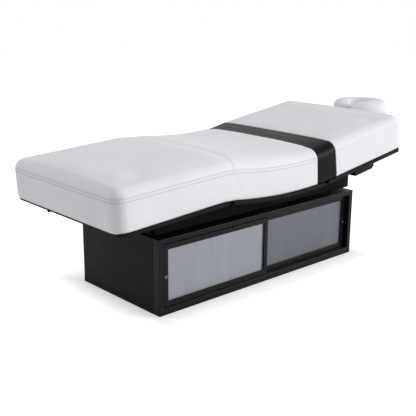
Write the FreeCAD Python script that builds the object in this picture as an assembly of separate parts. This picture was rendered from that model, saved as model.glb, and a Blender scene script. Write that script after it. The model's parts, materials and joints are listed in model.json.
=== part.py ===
import FreeCAD, Part
import math
import os

# Spa treatment table with a sliding-door cabinet, a lifting upper housing and a three-section top.
# Millimetres, +Z up, +X towards the head end, doors face -Y, origin on the floor under the cabinet's middle.

V = FreeCAD.Vector
X_AXIS = V(1, 0, 0)
Y_AXIS = V(0, 1, 0)
Z_AXIS = V(0, 0, 1)

# Cabinet
CABINET_LENGTH = 1410.0
CABINET_WIDTH = 624.0
CABINET_HEIGHT = 372.0
PANEL = 18.0
BACK_PANEL = 12.0
STILE_WIDTH = 27.0
TOP_RAIL = 24.0
BOTTOM_RAIL = 33.0
FRAME_DEPTH = 46.0
FIT_GAP = 0.3
OVERCUT = 1.0
INLET_SIZE = (30.0, 24.0)
INLET_OFFSET = (95.0, 62.0)
INLET_DEPTH = 20.0
INLET_FLANGE = (9.0, 4.0, 3.0)
SOCKET_SIZE = (20.0, 14.0, 12.0)
CONTROL_BOX = (180.0, 52.0, 120.0)
CONTROL_BOX_X = -340.0
CONTROL_BOX_BOTTOM = 70.0
CONTROL_BOX_EDGE = 6.0
SCREW_RADIUS = 4.5
SCREW_HEIGHT = 2.5
SCREW_INSET = 14.0
SCREW_PLACES = (-0.85, -0.4, 0.4, 0.85)

# Sliding doors
DOOR_THICKNESS = 16.0
FRONT_DOOR_SETBACK = 6.0
DOOR_SPACING = 4.0
DOOR_BORDER = 25.0
DOOR_END_GAP = 6.0
INSERT_REBATE = 5.0
DOOR_OVERLAP = 30.0
DOOR_TOP_GAP = 7.0
DOOR_BOTTOM_GAP = 4.0
INSERT_THICKNESS = 4.0
INSERT_RECESS = 9.0
PULL_RADIUS = 6.5
PULL_DEPTH = 5.0
PULL_PROUD = 1.5
PULL_RIM = 1.6
TRACK_DEPTH = 10.0
TRACK_WALL = 2.0
GLIDE_WIDTH = 6.0
GLIDE_LENGTH = 30.0
GLIDE_INSET = 80.0
GLIDE_PLAY = 2.0

# Lifting columns
COLUMN_X = 560.0
COLUMN_SIZE = (110.0, 150.0)
COLUMN_WALL = 4.0
COLUMN_CLEARANCE = 0.3
BASE_PLATE = (190.0, 230.0, 8.0)
COLUMN_TOP_DROP = 10.0
COLUMN_EDGE = 8.0
COLUMN_BORE_EDGE = 5.0
STAGE_STEP = 4.0
TOP_PLATE = (160.0, 200.0, 10.0)
MOTOR_SIZE = (76.0, 64.0, 90.0)
DECK_CLEARANCE = 3.0

# Upper housing and lift frame
APRON_SETBACK = 33.0
LIFT_GAP = 15.0
APRON_HEIGHT = 70.0
APRON_EDGE = 8.0
APRON_SHEET = 3.0
APRON_FLANGE = 26.0
RAIL_SIZE = (30.0, 40.0)
RAIL_WALL = 3.0
RAIL_OUTER_Y = 250.0
RAIL_END_GAP = 15.0
FRAME_LIFT = 23.0
MEMBER_WIDTH = 40.0
SPACER_LENGTH = 40.0
SPACER_REVEAL = 5.0
SPACER_PLACES = (-0.85, -0.28, 0.28, 0.85)
BEARER_INSET = (60.0, 40.0)

# Mattress and platforms: stations are measured from the foot end, rises from the cabinet's top
FOOT_END_X = -1008.0
TOP_LENGTH = 1987.0
TOP_HALF_WIDTH = 442.0
CUSHION_THICKNESS = 186.0
BACK_CUSHION_THICKNESS = 196.0
CUSHION_CROWN = 9.0
SIDE_BULGE = 5.0
TOP_EDGE_RADIUS = 48.0
BOTTOM_EDGE_RADIUS = 14.0
PLAN_CORNER_RADIUS = 50.0
FOLD_EDGE_RADIUS = 50.0
PLATFORM = 18.0
PLATFORM_INSET = 10.0
PLATFORM_GAP = 16.0
KNEE_STATION = 640.0
KNEE_RISE = 149.0
HIP_STATION = 1327.0
HIP_RISE = 131.0
SEAT_LOW_STATION = 1031.0
SEAT_LOW_RISE = 118.0
LEG_SLOPE = 3.0
BACK_SLOPE = 8.4
KNEE_FOLD = 64.0
BAND_WIDTH = 154.0
SOFT_GAP = 0.5
FOLD_LIFT = 16.0
HEAD_OVERHANG = 10.0

# Section frames and hinges
LUG_PLATE = 8.0
LUG_Y = 200.0
LUG_NECK = 16.0
ARM_HALF = 9.0
EAR_GAP = 0.6
EAR_DEPTH = 14.0
EAR_REACH = 64.0
EYE_RADIUS = 11.0
PIN_RADIUS = 6.0
PIN_CLEARANCE = 0.05
SECTION_RAIL = (30.0, 30.0)
SECTION_RAIL_Y = 300.0
HINGE_RAIL_GAP = 40.0
FOOT_RAIL_INSET = 70.0
HEAD_RAIL_INSET = 80.0
EAR_RELIEF = 1.5
PIN_OVERHANG = 5.0
PIN_HEAD = (2.5, 3.5)
HIP_MEMBER_OFFSET = 101.0
KNEE_MEMBER_OFFSET = 100.0
DRIVE_MEMBER_X = -20.0

# Actuators
CRANK_RADIUS = 85.0
CRANK_Y = 90.0
CRANK_PLATE = 10.0
BACK_CRANK_LEAD = 18.8
LEG_CRANK_LEAD = 6.0
DRIVE_PIN_RADIUS = 6.0
YOKE_SLOT_HALF = 9.0
YOKE_SLOT_HEIGHT = 34.0
YOKE_WALL = 7.0
YOKE_THICKNESS = 12.0
ROD_RADIUS = 9.0
HOUSING_RADIUS = 18.0
HOUSING_LENGTH = 170.0
DRIVE_MOTOR = (84.0, 46.0, 44.0)
ROD_DROP = 80.0
ROD_STOP = 40.0
HOUSING_PLUG = 12.0
CRANK_FOOT = (22.0, 90.0, 5.0)
CRANK_TIP = 9.0
CRANK_GAP = 1.5

# Face cradle, lengths measured along the back section from the hip axis
POST_Y = 101.6
POST_RADIUS = 6.35
POST_CLEARANCE = 0.1
RECEIVER_WALL = 3.0
RECEIVER_SPAN = (440.0, 600.0)
RECEIVER_DROP = 34.0
POST_SPAN = (450.0, 702.0)
CROSS_BAR = 26.0
PIVOT_RISE = 83.0
UPRIGHT_Y = 118.0
UPRIGHT_PLATE = 8.0
CRADLE_PLATE = 12.0
CRADLE_PLATE_RISE = 196.0
PLATE_MARGIN = 10.0
BRIDGE_LEAD = 12.0
SADDLE = (10.0, 8.0)
ROD_OVERHANG = 4.0
PILLOW_STATION = 2155.0
PILLOW_RADIUS = 110.0
PILLOW_HALF_WIDTH = 50.0
PILLOW_HEIGHT = 99.0
PILLOW_GAP = 18.0
PILLOW_LIFT = 0.5
PILLOW_FOOT = 14.0
PILLOW_SHOULDER = 40.0
PILLOW_CROWN = 7.0
LEVER_LENGTH = 74.0
LEVER_HUB = (13.0, 14.0)
LEVER_HALF = 7.0
LEVER_THICKNESS = 8.0
LEVER_INSET = 4.0
LEVER_SOCKET = 6.0

# Armrest receivers
ARM_TUBE = (155.0, 40.0, 28.0)
ARM_TUBE_WALL = 3.0
ARM_TUBE_Y = 340.0
ARM_TUBE_STATION = 330.0
ARM_TUBE_DROP = 56.0
HANGER = 6.0
STRAP = 24.0
STRAP_INSET = 16.0
KNOB_RADIUS = 16.0
KNOB_LENGTH = 20.0
KNOB_LOBES = 6
KNOB_SCOOP = (6.0, 3.0)
KNOB_SCREW = (5.0, 14.0)

BUMPER_RADIUS = 11.0
BUMPER_HEIGHT = 18.0
BUMPER_Y = 173.0
BUMPER_INSET = 24.0
BUMPER_TAPER = 3.0

# Derived positions
HALF_LENGTH = CABINET_LENGTH / 2
HALF_WIDTH = CABINET_WIDTH / 2
FRONT_Y = -HALF_WIDTH
FRAME_BACK_Y = FRONT_Y + FRAME_DEPTH
OPENING_HALF = HALF_LENGTH - STILE_WIDTH
DOOR_BOTTOM = BOTTOM_RAIL + DOOR_BOTTOM_GAP
DOOR_TOP = CABINET_HEIGHT - TOP_RAIL - DOOR_TOP_GAP
PULL_HEIGHT = CABINET_HEIGHT / 2
COLUMN_OUTER_TOP = CABINET_HEIGHT - COLUMN_TOP_DROP
APRON_BOTTOM = CABINET_HEIGHT + LIFT_GAP
APRON_TOP = APRON_BOTTOM + APRON_HEIGHT
FRAME_BOTTOM = CABINET_HEIGHT + FRAME_LIFT
RAIL_END_X = HALF_LENGTH - RAIL_END_GAP
KNEE = V(FOOT_END_X + KNEE_STATION, 0, CABINET_HEIGHT + KNEE_RISE)
HIP = V(FOOT_END_X + HIP_STATION, 0, CABINET_HEIGHT + HIP_RISE)
SEAT_LOW = V(FOOT_END_X + SEAT_LOW_STATION, 0, CABINET_HEIGHT + SEAT_LOW_RISE)
CRADLE_PLATE_BOTTOM = HIP.z + CRADLE_PLATE_RISE
PILLOW_X = FOOT_END_X + PILLOW_STATION
PILLOW_OPEN_ANGLE = math.degrees((PILLOW_HALF_WIDTH + PILLOW_GAP / 2) / PILLOW_RADIUS)
FRAME_TOP = FRAME_BOTTOM + RAIL_SIZE[1]
PLATFORM_HALF = TOP_HALF_WIDTH - PLATFORM_INSET
PLATFORM_CORNER = PLAN_CORNER_RADIUS - PLATFORM_INSET
HIP_MEMBER_X = HIP.x + HIP_MEMBER_OFFSET
KNEE_MEMBER_X = KNEE.x - KNEE_MEMBER_OFFSET
SEAT_START = KNEE_STATION + KNEE_FOLD / 2
SEAT_END = HIP_STATION - BAND_WIDTH / 2


# Basic solids
def box(x0, x1, y0, y1, z0, z1):
    return Part.makeBox(x1 - x0, y1 - y0, z1 - z0, V(x0, y0, z0))


def centred_box(x, y, size_x, size_y, z0, z1):
    return box(x - size_x / 2, x + size_x / 2, y - size_y / 2, y + size_y / 2, z0, z1)


def cylinder(start, direction, radius, length):
    return Part.makeCylinder(radius, length, start, direction)


def plate_xz(points, y_middle, thickness):
    """Plate with a polygon outline in X and Z, centred on y_middle."""
    corners = [V(x, y_middle - thickness / 2, z) for x, z in points]
    wire = Part.makePolygon(corners + corners[:1])
    return Part.Face(wire).extrude(V(0, thickness, 0))


def rounded_edges(solid, radius, direction):
    """Rounds the straight edges of a solid that run along one direction."""
    chosen = []
    for edge in solid.Edges:
        run = edge.Vertexes[-1].Point - edge.Vertexes[0].Point
        if run.Length > 0 and abs(run.normalize().dot(direction)) > 0.999:
            chosen.append(edge)
    return solid.makeFillet(radius, chosen)


def mirrored_pair(solid):
    """A piece and its mirror image across the table's long middle plane."""
    other = solid.mirror(V(0, 0, 0), Y_AXIS)
    return Part.makeCompound([solid, other])


def both_ends(piece):
    """The foot-end and head-end copies of a piece that is made for one side of the cabinet."""
    return Part.makeCompound([piece(-1), piece(1)])


def turned(shape, pivot, degrees):
    """Copy of a shape turned about a line along Y through the pivot; positive lifts the head end."""
    copy = shape.copy()
    copy.rotate(pivot, V(0, -1, 0), degrees)
    return copy


def on_back(shape):
    """Places a shape built level behind the hip on the sloping back section."""
    return turned(shape, HIP, BACK_SLOPE)


def on_leg(shape):
    """Places a shape built level before the knee on the sloping leg section."""
    return turned(shape, KNEE, LEG_SLOPE)


# Cabinet
def floor_panel():
    return box(-HALF_LENGTH, HALF_LENGTH, FRAME_BACK_Y, HALF_WIDTH, 0, PANEL)


def end_panel(side):
    outer = side * HALF_LENGTH
    inner = side * (HALF_LENGTH - PANEL)
    return box(min(outer, inner), max(outer, inner), FRAME_BACK_Y, HALF_WIDTH, PANEL, CABINET_HEIGHT)


def back_panel():
    reach = HALF_LENGTH - PANEL
    panel = box(-reach, reach, HALF_WIDTH - BACK_PANEL, HALF_WIDTH, PANEL, CABINET_HEIGHT)
    return panel.cut(inlet_box(0, 0, 0, HALF_WIDTH + OVERCUT))


def deck_panel():
    reach = HALF_LENGTH - PANEL
    deck = box(-reach, reach, FRAME_BACK_Y, HALF_WIDTH - BACK_PANEL, CABINET_HEIGHT - PANEL, CABINET_HEIGHT)
    for x in (-COLUMN_X, COLUMN_X):
        size_x, size_y = (size + 2 * DECK_CLEARANCE for size in COLUMN_SIZE)
        deck = deck.cut(centred_box(x, 0, size_x, size_y, 0, CABINET_HEIGHT + OVERCUT))
    return deck


def stile(side):
    outer = side * HALF_LENGTH
    inner = side * OPENING_HALF
    upright = box(min(outer, inner), max(outer, inner), FRONT_Y, FRAME_BACK_Y,
                  BOTTOM_RAIL, CABINET_HEIGHT - TOP_RAIL)
    return upright


def track_span():
    """Front and back of the track that holds both doors."""
    front = FRONT_Y + FRONT_DOOR_SETBACK
    return front, front + 2 * DOOR_THICKNESS + DOOR_SPACING


def front_rail(z0, z1, groove_z0, groove_z1):
    rail = box(-HALF_LENGTH, HALF_LENGTH, FRONT_Y, FRAME_BACK_Y, z0, z1)
    front, back = track_span()
    return rail.cut(box(-OPENING_HALF, OPENING_HALF, front, back, groove_z0, groove_z1))


def top_rail():
    bottom = CABINET_HEIGHT - TOP_RAIL
    return front_rail(bottom, CABINET_HEIGHT, bottom, bottom + TRACK_DEPTH)


def bottom_rail():
    return front_rail(0, BOTTOM_RAIL, BOTTOM_RAIL - TRACK_DEPTH, BOTTOM_RAIL)


def door_middle(track):
    """Middle plane of a door; track 0 is the front one."""
    return FRONT_Y + FRONT_DOOR_SETBACK + DOOR_THICKNESS / 2 + track * (DOOR_THICKNESS + DOOR_SPACING)


def door_track(z0, z1, floor_side):
    front, back = track_span()
    track = box(-OPENING_HALF, OPENING_HALF, front, back, z0, z1)
    groove = GLIDE_WIDTH + GLIDE_PLAY
    for index in (0, 1):
        middle = door_middle(index)
        low = z0 + TRACK_WALL if floor_side else z0
        high = z1 if floor_side else z1 - TRACK_WALL
        track = track.cut(centred_box(0, middle, 2 * OPENING_HALF, groove, low, high))
    return track


def upper_track():
    bottom = CABINET_HEIGHT - TOP_RAIL
    return door_track(bottom, bottom + TRACK_DEPTH, False)


def lower_track():
    return door_track(BOTTOM_RAIL - TRACK_DEPTH, BOTTOM_RAIL, True)


def inlet_box(wider, taller, y0, y1):
    """Upright block on the inlet's axis, wider and taller than its body by a border on each side."""
    x = -HALF_LENGTH + INLET_OFFSET[0]
    z = INLET_OFFSET[1]
    half_x = INLET_SIZE[0] / 2 + wider
    half_z = INLET_SIZE[1] / 2 + taller
    return box(x - half_x, x + half_x, y0, y1, z - half_z, z + half_z)


def power_inlet():
    """Flanged appliance inlet in the back panel."""
    border_x, border_z, proud = INLET_FLANGE
    body = inlet_box(0, 0, HALF_WIDTH - BACK_PANEL - INLET_DEPTH, HALF_WIDTH)
    flange = inlet_box(border_x, border_z, HALF_WIDTH, HALF_WIDTH + proud)
    narrower = (SOCKET_SIZE[0] - INLET_SIZE[0]) / 2
    lower = (SOCKET_SIZE[1] - INLET_SIZE[1]) / 2
    socket = inlet_box(narrower, lower, HALF_WIDTH - SOCKET_SIZE[2], HALF_WIDTH + proud)
    return body.fuse(flange).removeSplitter().cut(socket)


def back_panel_screws():
    heads = []
    for x in SCREW_PLACES:
        for z in (PANEL + SCREW_INSET, CABINET_HEIGHT - PANEL - SCREW_INSET):
            start = V(x * HALF_LENGTH, HALF_WIDTH, z)
            heads.append(cylinder(start, Y_AXIS, SCREW_RADIUS, SCREW_HEIGHT))
    return Part.makeCompound(heads)


def control_box():
    length, depth, height = CONTROL_BOX
    middle_y = HALF_WIDTH - BACK_PANEL - depth / 2
    top = CONTROL_BOX_BOTTOM + height
    case = centred_box(CONTROL_BOX_X, middle_y, length, depth, CONTROL_BOX_BOTTOM, top)
    return rounded_edges(case, CONTROL_BOX_EDGE, X_AXIS)


# Doors
def door_span(side):
    """Ends of a door along X; side -1 is the foot-side door."""
    outer = side * (OPENING_HALF - DOOR_END_GAP)
    inner = -side * DOOR_OVERLAP / 2
    return min(outer, inner), max(outer, inner)


def door_frame(side, track):
    x0, x1 = door_span(side)
    y = door_middle(track)
    slab = box(x0, x1, y - DOOR_THICKNESS / 2, y + DOOR_THICKNESS / 2, DOOR_BOTTOM, DOOR_TOP)
    inner = (x0 + DOOR_BORDER, x1 - DOOR_BORDER)
    window = box(inner[0], inner[1], y - DOOR_THICKNESS, y + DOOR_THICKNESS,
                 DOOR_BOTTOM + DOOR_BORDER, DOOR_TOP - DOOR_BORDER)
    rim = DOOR_BORDER - INSERT_REBATE
    seat = box(x0 + rim, x1 - rim, y - DOOR_THICKNESS / 2 + INSERT_RECESS, y + DOOR_THICKNESS,
               DOOR_BOTTOM + rim, DOOR_TOP - rim)
    frame = slab.cut(window).cut(seat)
    return frame.cut(pull_solid(side, track))


def door_insert(side, track):
    x0, x1 = door_span(side)
    front = door_middle(track) - DOOR_THICKNESS / 2 + INSERT_RECESS
    reach = DOOR_BORDER - INSERT_REBATE + FIT_GAP
    return box(x0 + reach, x1 - reach, front, front + INSERT_THICKNESS, DOOR_BOTTOM + reach, DOOR_TOP - reach)


def pull_solid(side, track):
    x0, x1 = door_span(side)
    x = x0 + DOOR_BORDER / 2 if side < 0 else x1 - DOOR_BORDER / 2
    face = door_middle(track) - DOOR_THICKNESS / 2
    return cylinder(V(x, face - PULL_PROUD, PULL_HEIGHT), Y_AXIS, PULL_RADIUS, PULL_DEPTH + PULL_PROUD)


def door_pull(side, track):
    """Shallow round finger cup pressed into the door's outer border."""
    cup = pull_solid(side, track)
    centre = cup.BoundBox.Center
    start = V(centre.x, cup.BoundBox.YMin - OVERCUT, PULL_HEIGHT)
    hollow = cylinder(start, Y_AXIS, PULL_RADIUS - PULL_RIM, PULL_DEPTH)
    return cup.cut(hollow)


def door_glides(side, track):
    x0, x1 = door_span(side)
    y = door_middle(track)
    glides = []
    for x in (x0 + GLIDE_INSET, x1 - GLIDE_INSET):
        low = BOTTOM_RAIL - TRACK_DEPTH + TRACK_WALL + FIT_GAP
        glides.append(centred_box(x, y, GLIDE_LENGTH, GLIDE_WIDTH, low, DOOR_BOTTOM))
        high = CABINET_HEIGHT - TOP_RAIL + TRACK_DEPTH - TRACK_WALL - GLIDE_PLAY
        glides.append(centred_box(x, y, GLIDE_LENGTH, GLIDE_WIDTH, DOOR_TOP, high))
    return Part.makeCompound(glides)


# Lifting columns
def column_tube(side, stage, z0, z1):
    step = stage * (COLUMN_WALL + COLUMN_CLEARANCE) * 2
    size_x, size_y = (size - step for size in COLUMN_SIZE)
    tube = centred_box(side * COLUMN_X, 0, size_x, size_y, z0, z1)
    tube = rounded_edges(tube, COLUMN_EDGE, Z_AXIS)
    bore = centred_box(side * COLUMN_X, 0, size_x - 2 * COLUMN_WALL, size_y - 2 * COLUMN_WALL, z0, z1)
    return tube.cut(rounded_edges(bore, COLUMN_BORE_EDGE, Z_AXIS))


def column_outer(side):
    plate_top = PANEL + BASE_PLATE[2]
    plate = centred_box(side * COLUMN_X, 0, BASE_PLATE[0], BASE_PLATE[1], PANEL, plate_top)
    return plate.fuse(column_tube(side, 0, plate_top, COLUMN_OUTER_TOP)).removeSplitter()


def column_middle(side):
    bottom = PANEL + BASE_PLATE[2] + STAGE_STEP
    return column_tube(side, 1, bottom, COLUMN_OUTER_TOP + STAGE_STEP)


def column_inner(side):
    bottom = PANEL + BASE_PLATE[2] + 2 * STAGE_STEP
    plate_bottom = FRAME_BOTTOM - TOP_PLATE[2]
    plate = centred_box(side * COLUMN_X, 0, TOP_PLATE[0], TOP_PLATE[1], plate_bottom, FRAME_BOTTOM)
    return plate.fuse(column_tube(side, 2, bottom, plate_bottom)).removeSplitter()


def column_motor(side):
    y0 = COLUMN_SIZE[1] / 2
    z0 = PANEL + BASE_PLATE[2]
    x = side * COLUMN_X
    case = centred_box(x, y0 + MOTOR_SIZE[1] / 2, MOTOR_SIZE[0], MOTOR_SIZE[1], z0, z0 + MOTOR_SIZE[2])
    return rounded_edges(case, COLUMN_EDGE, Z_AXIS)


# Upper housing
def side_apron():
    """Front apron: a folded sheet with a flange turned in along its top and bottom."""
    outer = FRONT_Y + APRON_SETBACK
    solid = box(-HALF_LENGTH, HALF_LENGTH, outer, outer + APRON_FLANGE, APRON_BOTTOM, APRON_TOP)
    reach = HALF_LENGTH + OVERCUT
    hollow = box(-reach, reach, outer + APRON_SHEET, outer + APRON_FLANGE + OVERCUT,
                 APRON_BOTTOM + APRON_SHEET, APRON_TOP - APRON_SHEET)
    upright = [edge for edge in solid.Edges if edge.BoundBox.ZLength > APRON_HEIGHT / 2]
    corners = [edge for edge in upright if abs(edge.BoundBox.YMax - outer) < FIT_GAP]
    return solid.makeFillet(APRON_EDGE, corners).cut(hollow)


def end_apron(side):
    """End apron: a plain sheet between the side aprons."""
    outer = side * HALF_LENGTH
    inner = side * (HALF_LENGTH - APRON_SHEET)
    reach = HALF_WIDTH - APRON_SETBACK - APRON_FLANGE
    return box(min(outer, inner), max(outer, inner), -reach, reach, APRON_BOTTOM, APRON_TOP)


def lift_side_rails():
    y0 = RAIL_OUTER_Y - RAIL_SIZE[0]
    rail = box(-RAIL_END_X, RAIL_END_X, y0, RAIL_OUTER_Y, FRAME_BOTTOM, FRAME_TOP)
    bore = box(-RAIL_END_X, RAIL_END_X, y0 + RAIL_WALL, RAIL_OUTER_Y - RAIL_WALL,
               FRAME_BOTTOM + RAIL_WALL, FRAME_TOP - RAIL_WALL)
    return mirrored_pair(rail.cut(bore))


def lift_cross_members():
    reach = RAIL_OUTER_Y - RAIL_SIZE[0]
    places = (-COLUMN_X, KNEE_MEMBER_X, DRIVE_MEMBER_X, HIP_MEMBER_X, COLUMN_X)
    members = []
    for x in places:
        tube = centred_box(x, 0, MEMBER_WIDTH, 2 * reach, FRAME_BOTTOM, FRAME_TOP)
        bore = centred_box(x, 0, MEMBER_WIDTH - 2 * RAIL_WALL, 2 * reach,
                           FRAME_BOTTOM + RAIL_WALL, FRAME_TOP - RAIL_WALL)
        members.append(tube.cut(bore))
    return Part.makeCompound(members)


def apron_spacers():
    """Blocks that carry the side aprons on the lift frame's rails."""
    apron_inside = HALF_WIDTH - APRON_SETBACK - APRON_SHEET
    blocks = []
    for place in SPACER_PLACES:
        blocks.append(centred_box(place * HALF_LENGTH, (RAIL_OUTER_Y + apron_inside) / 2,
                                  SPACER_LENGTH, apron_inside - RAIL_OUTER_Y,
                                  FRAME_BOTTOM + SPACER_REVEAL, FRAME_TOP - SPACER_REVEAL))
    return mirrored_pair(Part.makeCompound(blocks))


# Contoured top
def seat_arc():
    """Arc of the seat's dished surface from the knee line to the hip line."""
    return Part.Arc(KNEE, SEAT_LOW, HIP).toShape()


SEAT_CIRCLE = seat_arc().Curve


def seat_height(x):
    """Height of the dished seat surface at a place along X."""
    centre = SEAT_CIRCLE.Center
    return centre.z - math.sqrt(SEAT_CIRCLE.Radius ** 2 - (x - centre.x) ** 2)


def seat_platform():
    x0 = KNEE.x + PLATFORM_GAP
    x1 = HIP.x - PLATFORM_GAP
    middle = (x0 + x1) / 2

    def curve(drop):
        return Part.Arc(V(x0, 0, seat_height(x0) - drop), V(middle, 0, seat_height(middle) - drop),
                        V(x1, 0, seat_height(x1) - drop)).toShape()

    upper, lower = curve(0), curve(PLATFORM)
    start = Part.makeLine(V(x0, 0, seat_height(x0) - PLATFORM), V(x0, 0, seat_height(x0)))
    end = Part.makeLine(V(x1, 0, seat_height(x1) - PLATFORM), V(x1, 0, seat_height(x1)))
    face = Part.Face(Part.Wire(Part.__sortEdges__([start, upper, end, lower])))
    face.translate(V(0, -PLATFORM_HALF, 0))
    return face.extrude(V(0, 2 * PLATFORM_HALF, 0))


def seat_bearers():
    """Two upright bearers between the lift frame's rails and the dished seat platform."""
    x0 = KNEE.x + BEARER_INSET[0]
    x1 = HIP.x - BEARER_INSET[1]
    middle = (x0 + x1) / 2

    def under(x):
        return V(x, 0, seat_height(x) - PLATFORM)

    top = Part.Arc(under(x0), under(middle), under(x1)).toShape()
    corners = [under(x1), V(x1, 0, FRAME_TOP), V(x0, 0, FRAME_TOP), under(x0)]
    edges = [top] + [Part.makeLine(a, b) for a, b in zip(corners, corners[1:])]
    face = Part.Face(Part.Wire(Part.__sortEdges__(edges)))
    face.translate(V(0, RAIL_OUTER_Y - RAIL_SIZE[0], 0))
    return mirrored_pair(face.extrude(V(0, RAIL_SIZE[0], 0)))


def flat_platform(x0, x1, level, rounded_side):
    """Flat board with two rounded plan corners at its free end."""
    board = box(x0, x1, -PLATFORM_HALF, PLATFORM_HALF, level - PLATFORM, level)
    free = x0 if rounded_side < 0 else x1
    upright = [edge for edge in board.Edges if edge.BoundBox.ZLength > PLATFORM / 2]
    corners = [edge for edge in upright if abs(edge.BoundBox.XMin - free) < FIT_GAP]
    return board.makeFillet(PLATFORM_CORNER, corners)


def leg_reach():
    return KNEE_STATION / math.cos(math.radians(LEG_SLOPE))


def back_reach():
    return (TOP_LENGTH - HIP_STATION) / math.cos(math.radians(BACK_SLOPE)) + HEAD_OVERHANG


def leg_platform():
    return on_leg(flat_platform(KNEE.x - leg_reach() + PLATFORM_INSET, KNEE.x - PLATFORM_GAP, KNEE.z, -1))


def back_platform():
    return on_back(flat_platform(HIP.x + PLATFORM_GAP, HIP.x + back_reach() - PLATFORM_INSET, HIP.z, 1))


# Cushions
def cushion_section(x, half, bottom, top, crown):
    """Closed outline across the mattress: flat base, bulging sides, round top edges and a crowned top."""
    low = BOTTOM_EDGE_RADIUS
    high = TOP_EDGE_RADIUS
    corner = 1 - math.sqrt(0.5)

    def at(y, z):
        return V(x, y, z)

    def side(sign):
        y = sign * half
        foot = (at(y - sign * low, bottom), at(y - sign * low * corner, bottom + low * corner),
                at(y, bottom + low))
        wall = (at(y, bottom + low), at(y + sign * SIDE_BULGE, (bottom + top) / 2), at(y, top - high))
        shoulder = (at(y, top - high), at(y - sign * high * corner, top - high * corner),
                    at(y - sign * high, top))
        return foot, wall, shoulder

    right, left = side(1), side(-1)
    edges = [Part.makeLine(left[0][0], right[0][0])]
    edges += [Part.Arc(*points).toShape() for points in right]
    edges.append(Part.Arc(right[2][2], at(0, top + crown), left[2][2]).toShape())
    edges += [Part.Arc(*reversed(points)).toShape() for points in reversed(left)]
    return Part.Wire(edges)


def quarter_inset(distance, radius):
    """How far a rounded corner draws in at a distance from the end of the piece."""
    short = radius - min(max(distance, 0.0), radius)
    return radius - math.sqrt(radius ** 2 - short ** 2)


def cushion(x0, x1, bottom_at, thickness, foot_round=None, head_round=None):
    """Loft along X; a round is (plan radius, top radius) of the end it belongs to."""
    steps = (0.0, 0.04, 0.13, 0.3, 0.6, 1.0)
    stations = set()
    for end, direction, ends in ((x0, 1, foot_round), (x1, -1, head_round)):
        reach = max(ends)
        stations.update(round(end + direction * step * reach, 4) for step in steps)
    inner = (max(foot_round), max(head_round))
    span = x1 - inner[1] - (x0 + inner[0])
    stations.update(x0 + inner[0] + span * part for part in (0.25, 0.5, 0.75))
    outlines = []
    for x in sorted(stations):
        half = TOP_HALF_WIDTH - SIDE_BULGE
        half -= quarter_inset(x - x0, foot_round[0]) + quarter_inset(x1 - x, head_round[0])
        drop = quarter_inset(x - x0, foot_round[1]) + quarter_inset(x1 - x, head_round[1])
        top = bottom_at(x) + thickness - drop - CUSHION_CROWN
        outlines.append(cushion_section(x, half, bottom_at(x), top, CUSHION_CROWN))
    return Part.makeLoft(outlines, True, True)


END_ROUND = (PLAN_CORNER_RADIUS, TOP_EDGE_RADIUS)
FOLD_ROUND = (10.0, 12.0)
BAND_ROUND = (12.0, FOLD_EDGE_RADIUS)


def leg_cushion():
    x0 = KNEE.x - leg_reach()
    x1 = KNEE.x - KNEE_FOLD / 2
    return on_leg(cushion(x0, x1, lambda x: KNEE.z + SOFT_GAP, CUSHION_THICKNESS, END_ROUND, FOLD_ROUND))


def seat_cushion():
    x0 = FOOT_END_X + SEAT_START
    x1 = FOOT_END_X + SEAT_END
    return cushion(x0, x1, lambda x: seat_height(x) + SOFT_GAP, CUSHION_THICKNESS, FOLD_ROUND, BAND_ROUND)


def back_cushion():
    x0 = HIP.x + BAND_WIDTH / 2
    x1 = HIP.x + back_reach()
    return on_back(cushion(x0, x1, lambda x: HIP.z + SOFT_GAP, BACK_CUSHION_THICKNESS, BAND_ROUND, END_ROUND))


def fold_section(x, bottom, thickness):
    top = bottom + thickness - CUSHION_CROWN
    return cushion_section(x, TOP_HALF_WIDTH - SIDE_BULGE, bottom + FOLD_LIFT, top, CUSHION_CROWN)


def knee_fold():
    """Foam over the knee hinge, carried from the leg cushion's end to the seat cushion's end."""
    reach = KNEE_FOLD / 2 - SOFT_GAP
    leg_side = on_leg(fold_section(KNEE.x - reach, KNEE.z, CUSHION_THICKNESS))
    seat_side = fold_section(KNEE.x + reach, seat_height(KNEE.x + reach), CUSHION_THICKNESS)
    return Part.makeLoft([leg_side, seat_side], True, True)


def lumbar_band():
    """Band over the hip hinge, carried from the seat cushion's end to the sloping back cushion's end."""
    reach = BAND_WIDTH / 2 - SOFT_GAP
    seat_side = fold_section(HIP.x - reach, seat_height(HIP.x - reach), CUSHION_THICKNESS)
    back_side = on_back(fold_section(HIP.x + reach, HIP.z, BACK_CUSHION_THICKNESS))
    return Part.makeLoft([seat_side, back_side], True, True)


# Hinges
def eye_plate(points, pivot, y_middle, thickness):
    """Hinge plate: a polygon arm that ends in a round eye with a pin hole."""
    arm = plate_xz(points, y_middle, thickness)
    start = V(pivot.x, y_middle - thickness / 2, pivot.z)
    eye = cylinder(start, Y_AXIS, EYE_RADIUS, thickness)
    hole = cylinder(start, Y_AXIS, PIN_RADIUS + PIN_CLEARANCE, thickness)
    return arm.fuse(eye).removeSplitter().cut(hole)


def frame_lugs(pivot, member_x):
    """Pair of lugs that stand on a cross member of the lift frame and reach to a hinge line."""
    way = 1 if member_x > pivot.x else -1
    half = MEMBER_WIDTH / 2
    neck = pivot.z - PLATFORM - LUG_NECK
    points = [(member_x - way * half, FRAME_TOP), (member_x + way * half, FRAME_TOP),
              (pivot.x + way * ARM_HALF, neck), (pivot.x + way * ARM_HALF, pivot.z),
              (pivot.x - way * ARM_HALF, pivot.z), (pivot.x - way * ARM_HALF, neck)]
    return mirrored_pair(eye_plate(points, pivot, LUG_Y, LUG_PLATE))


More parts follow.
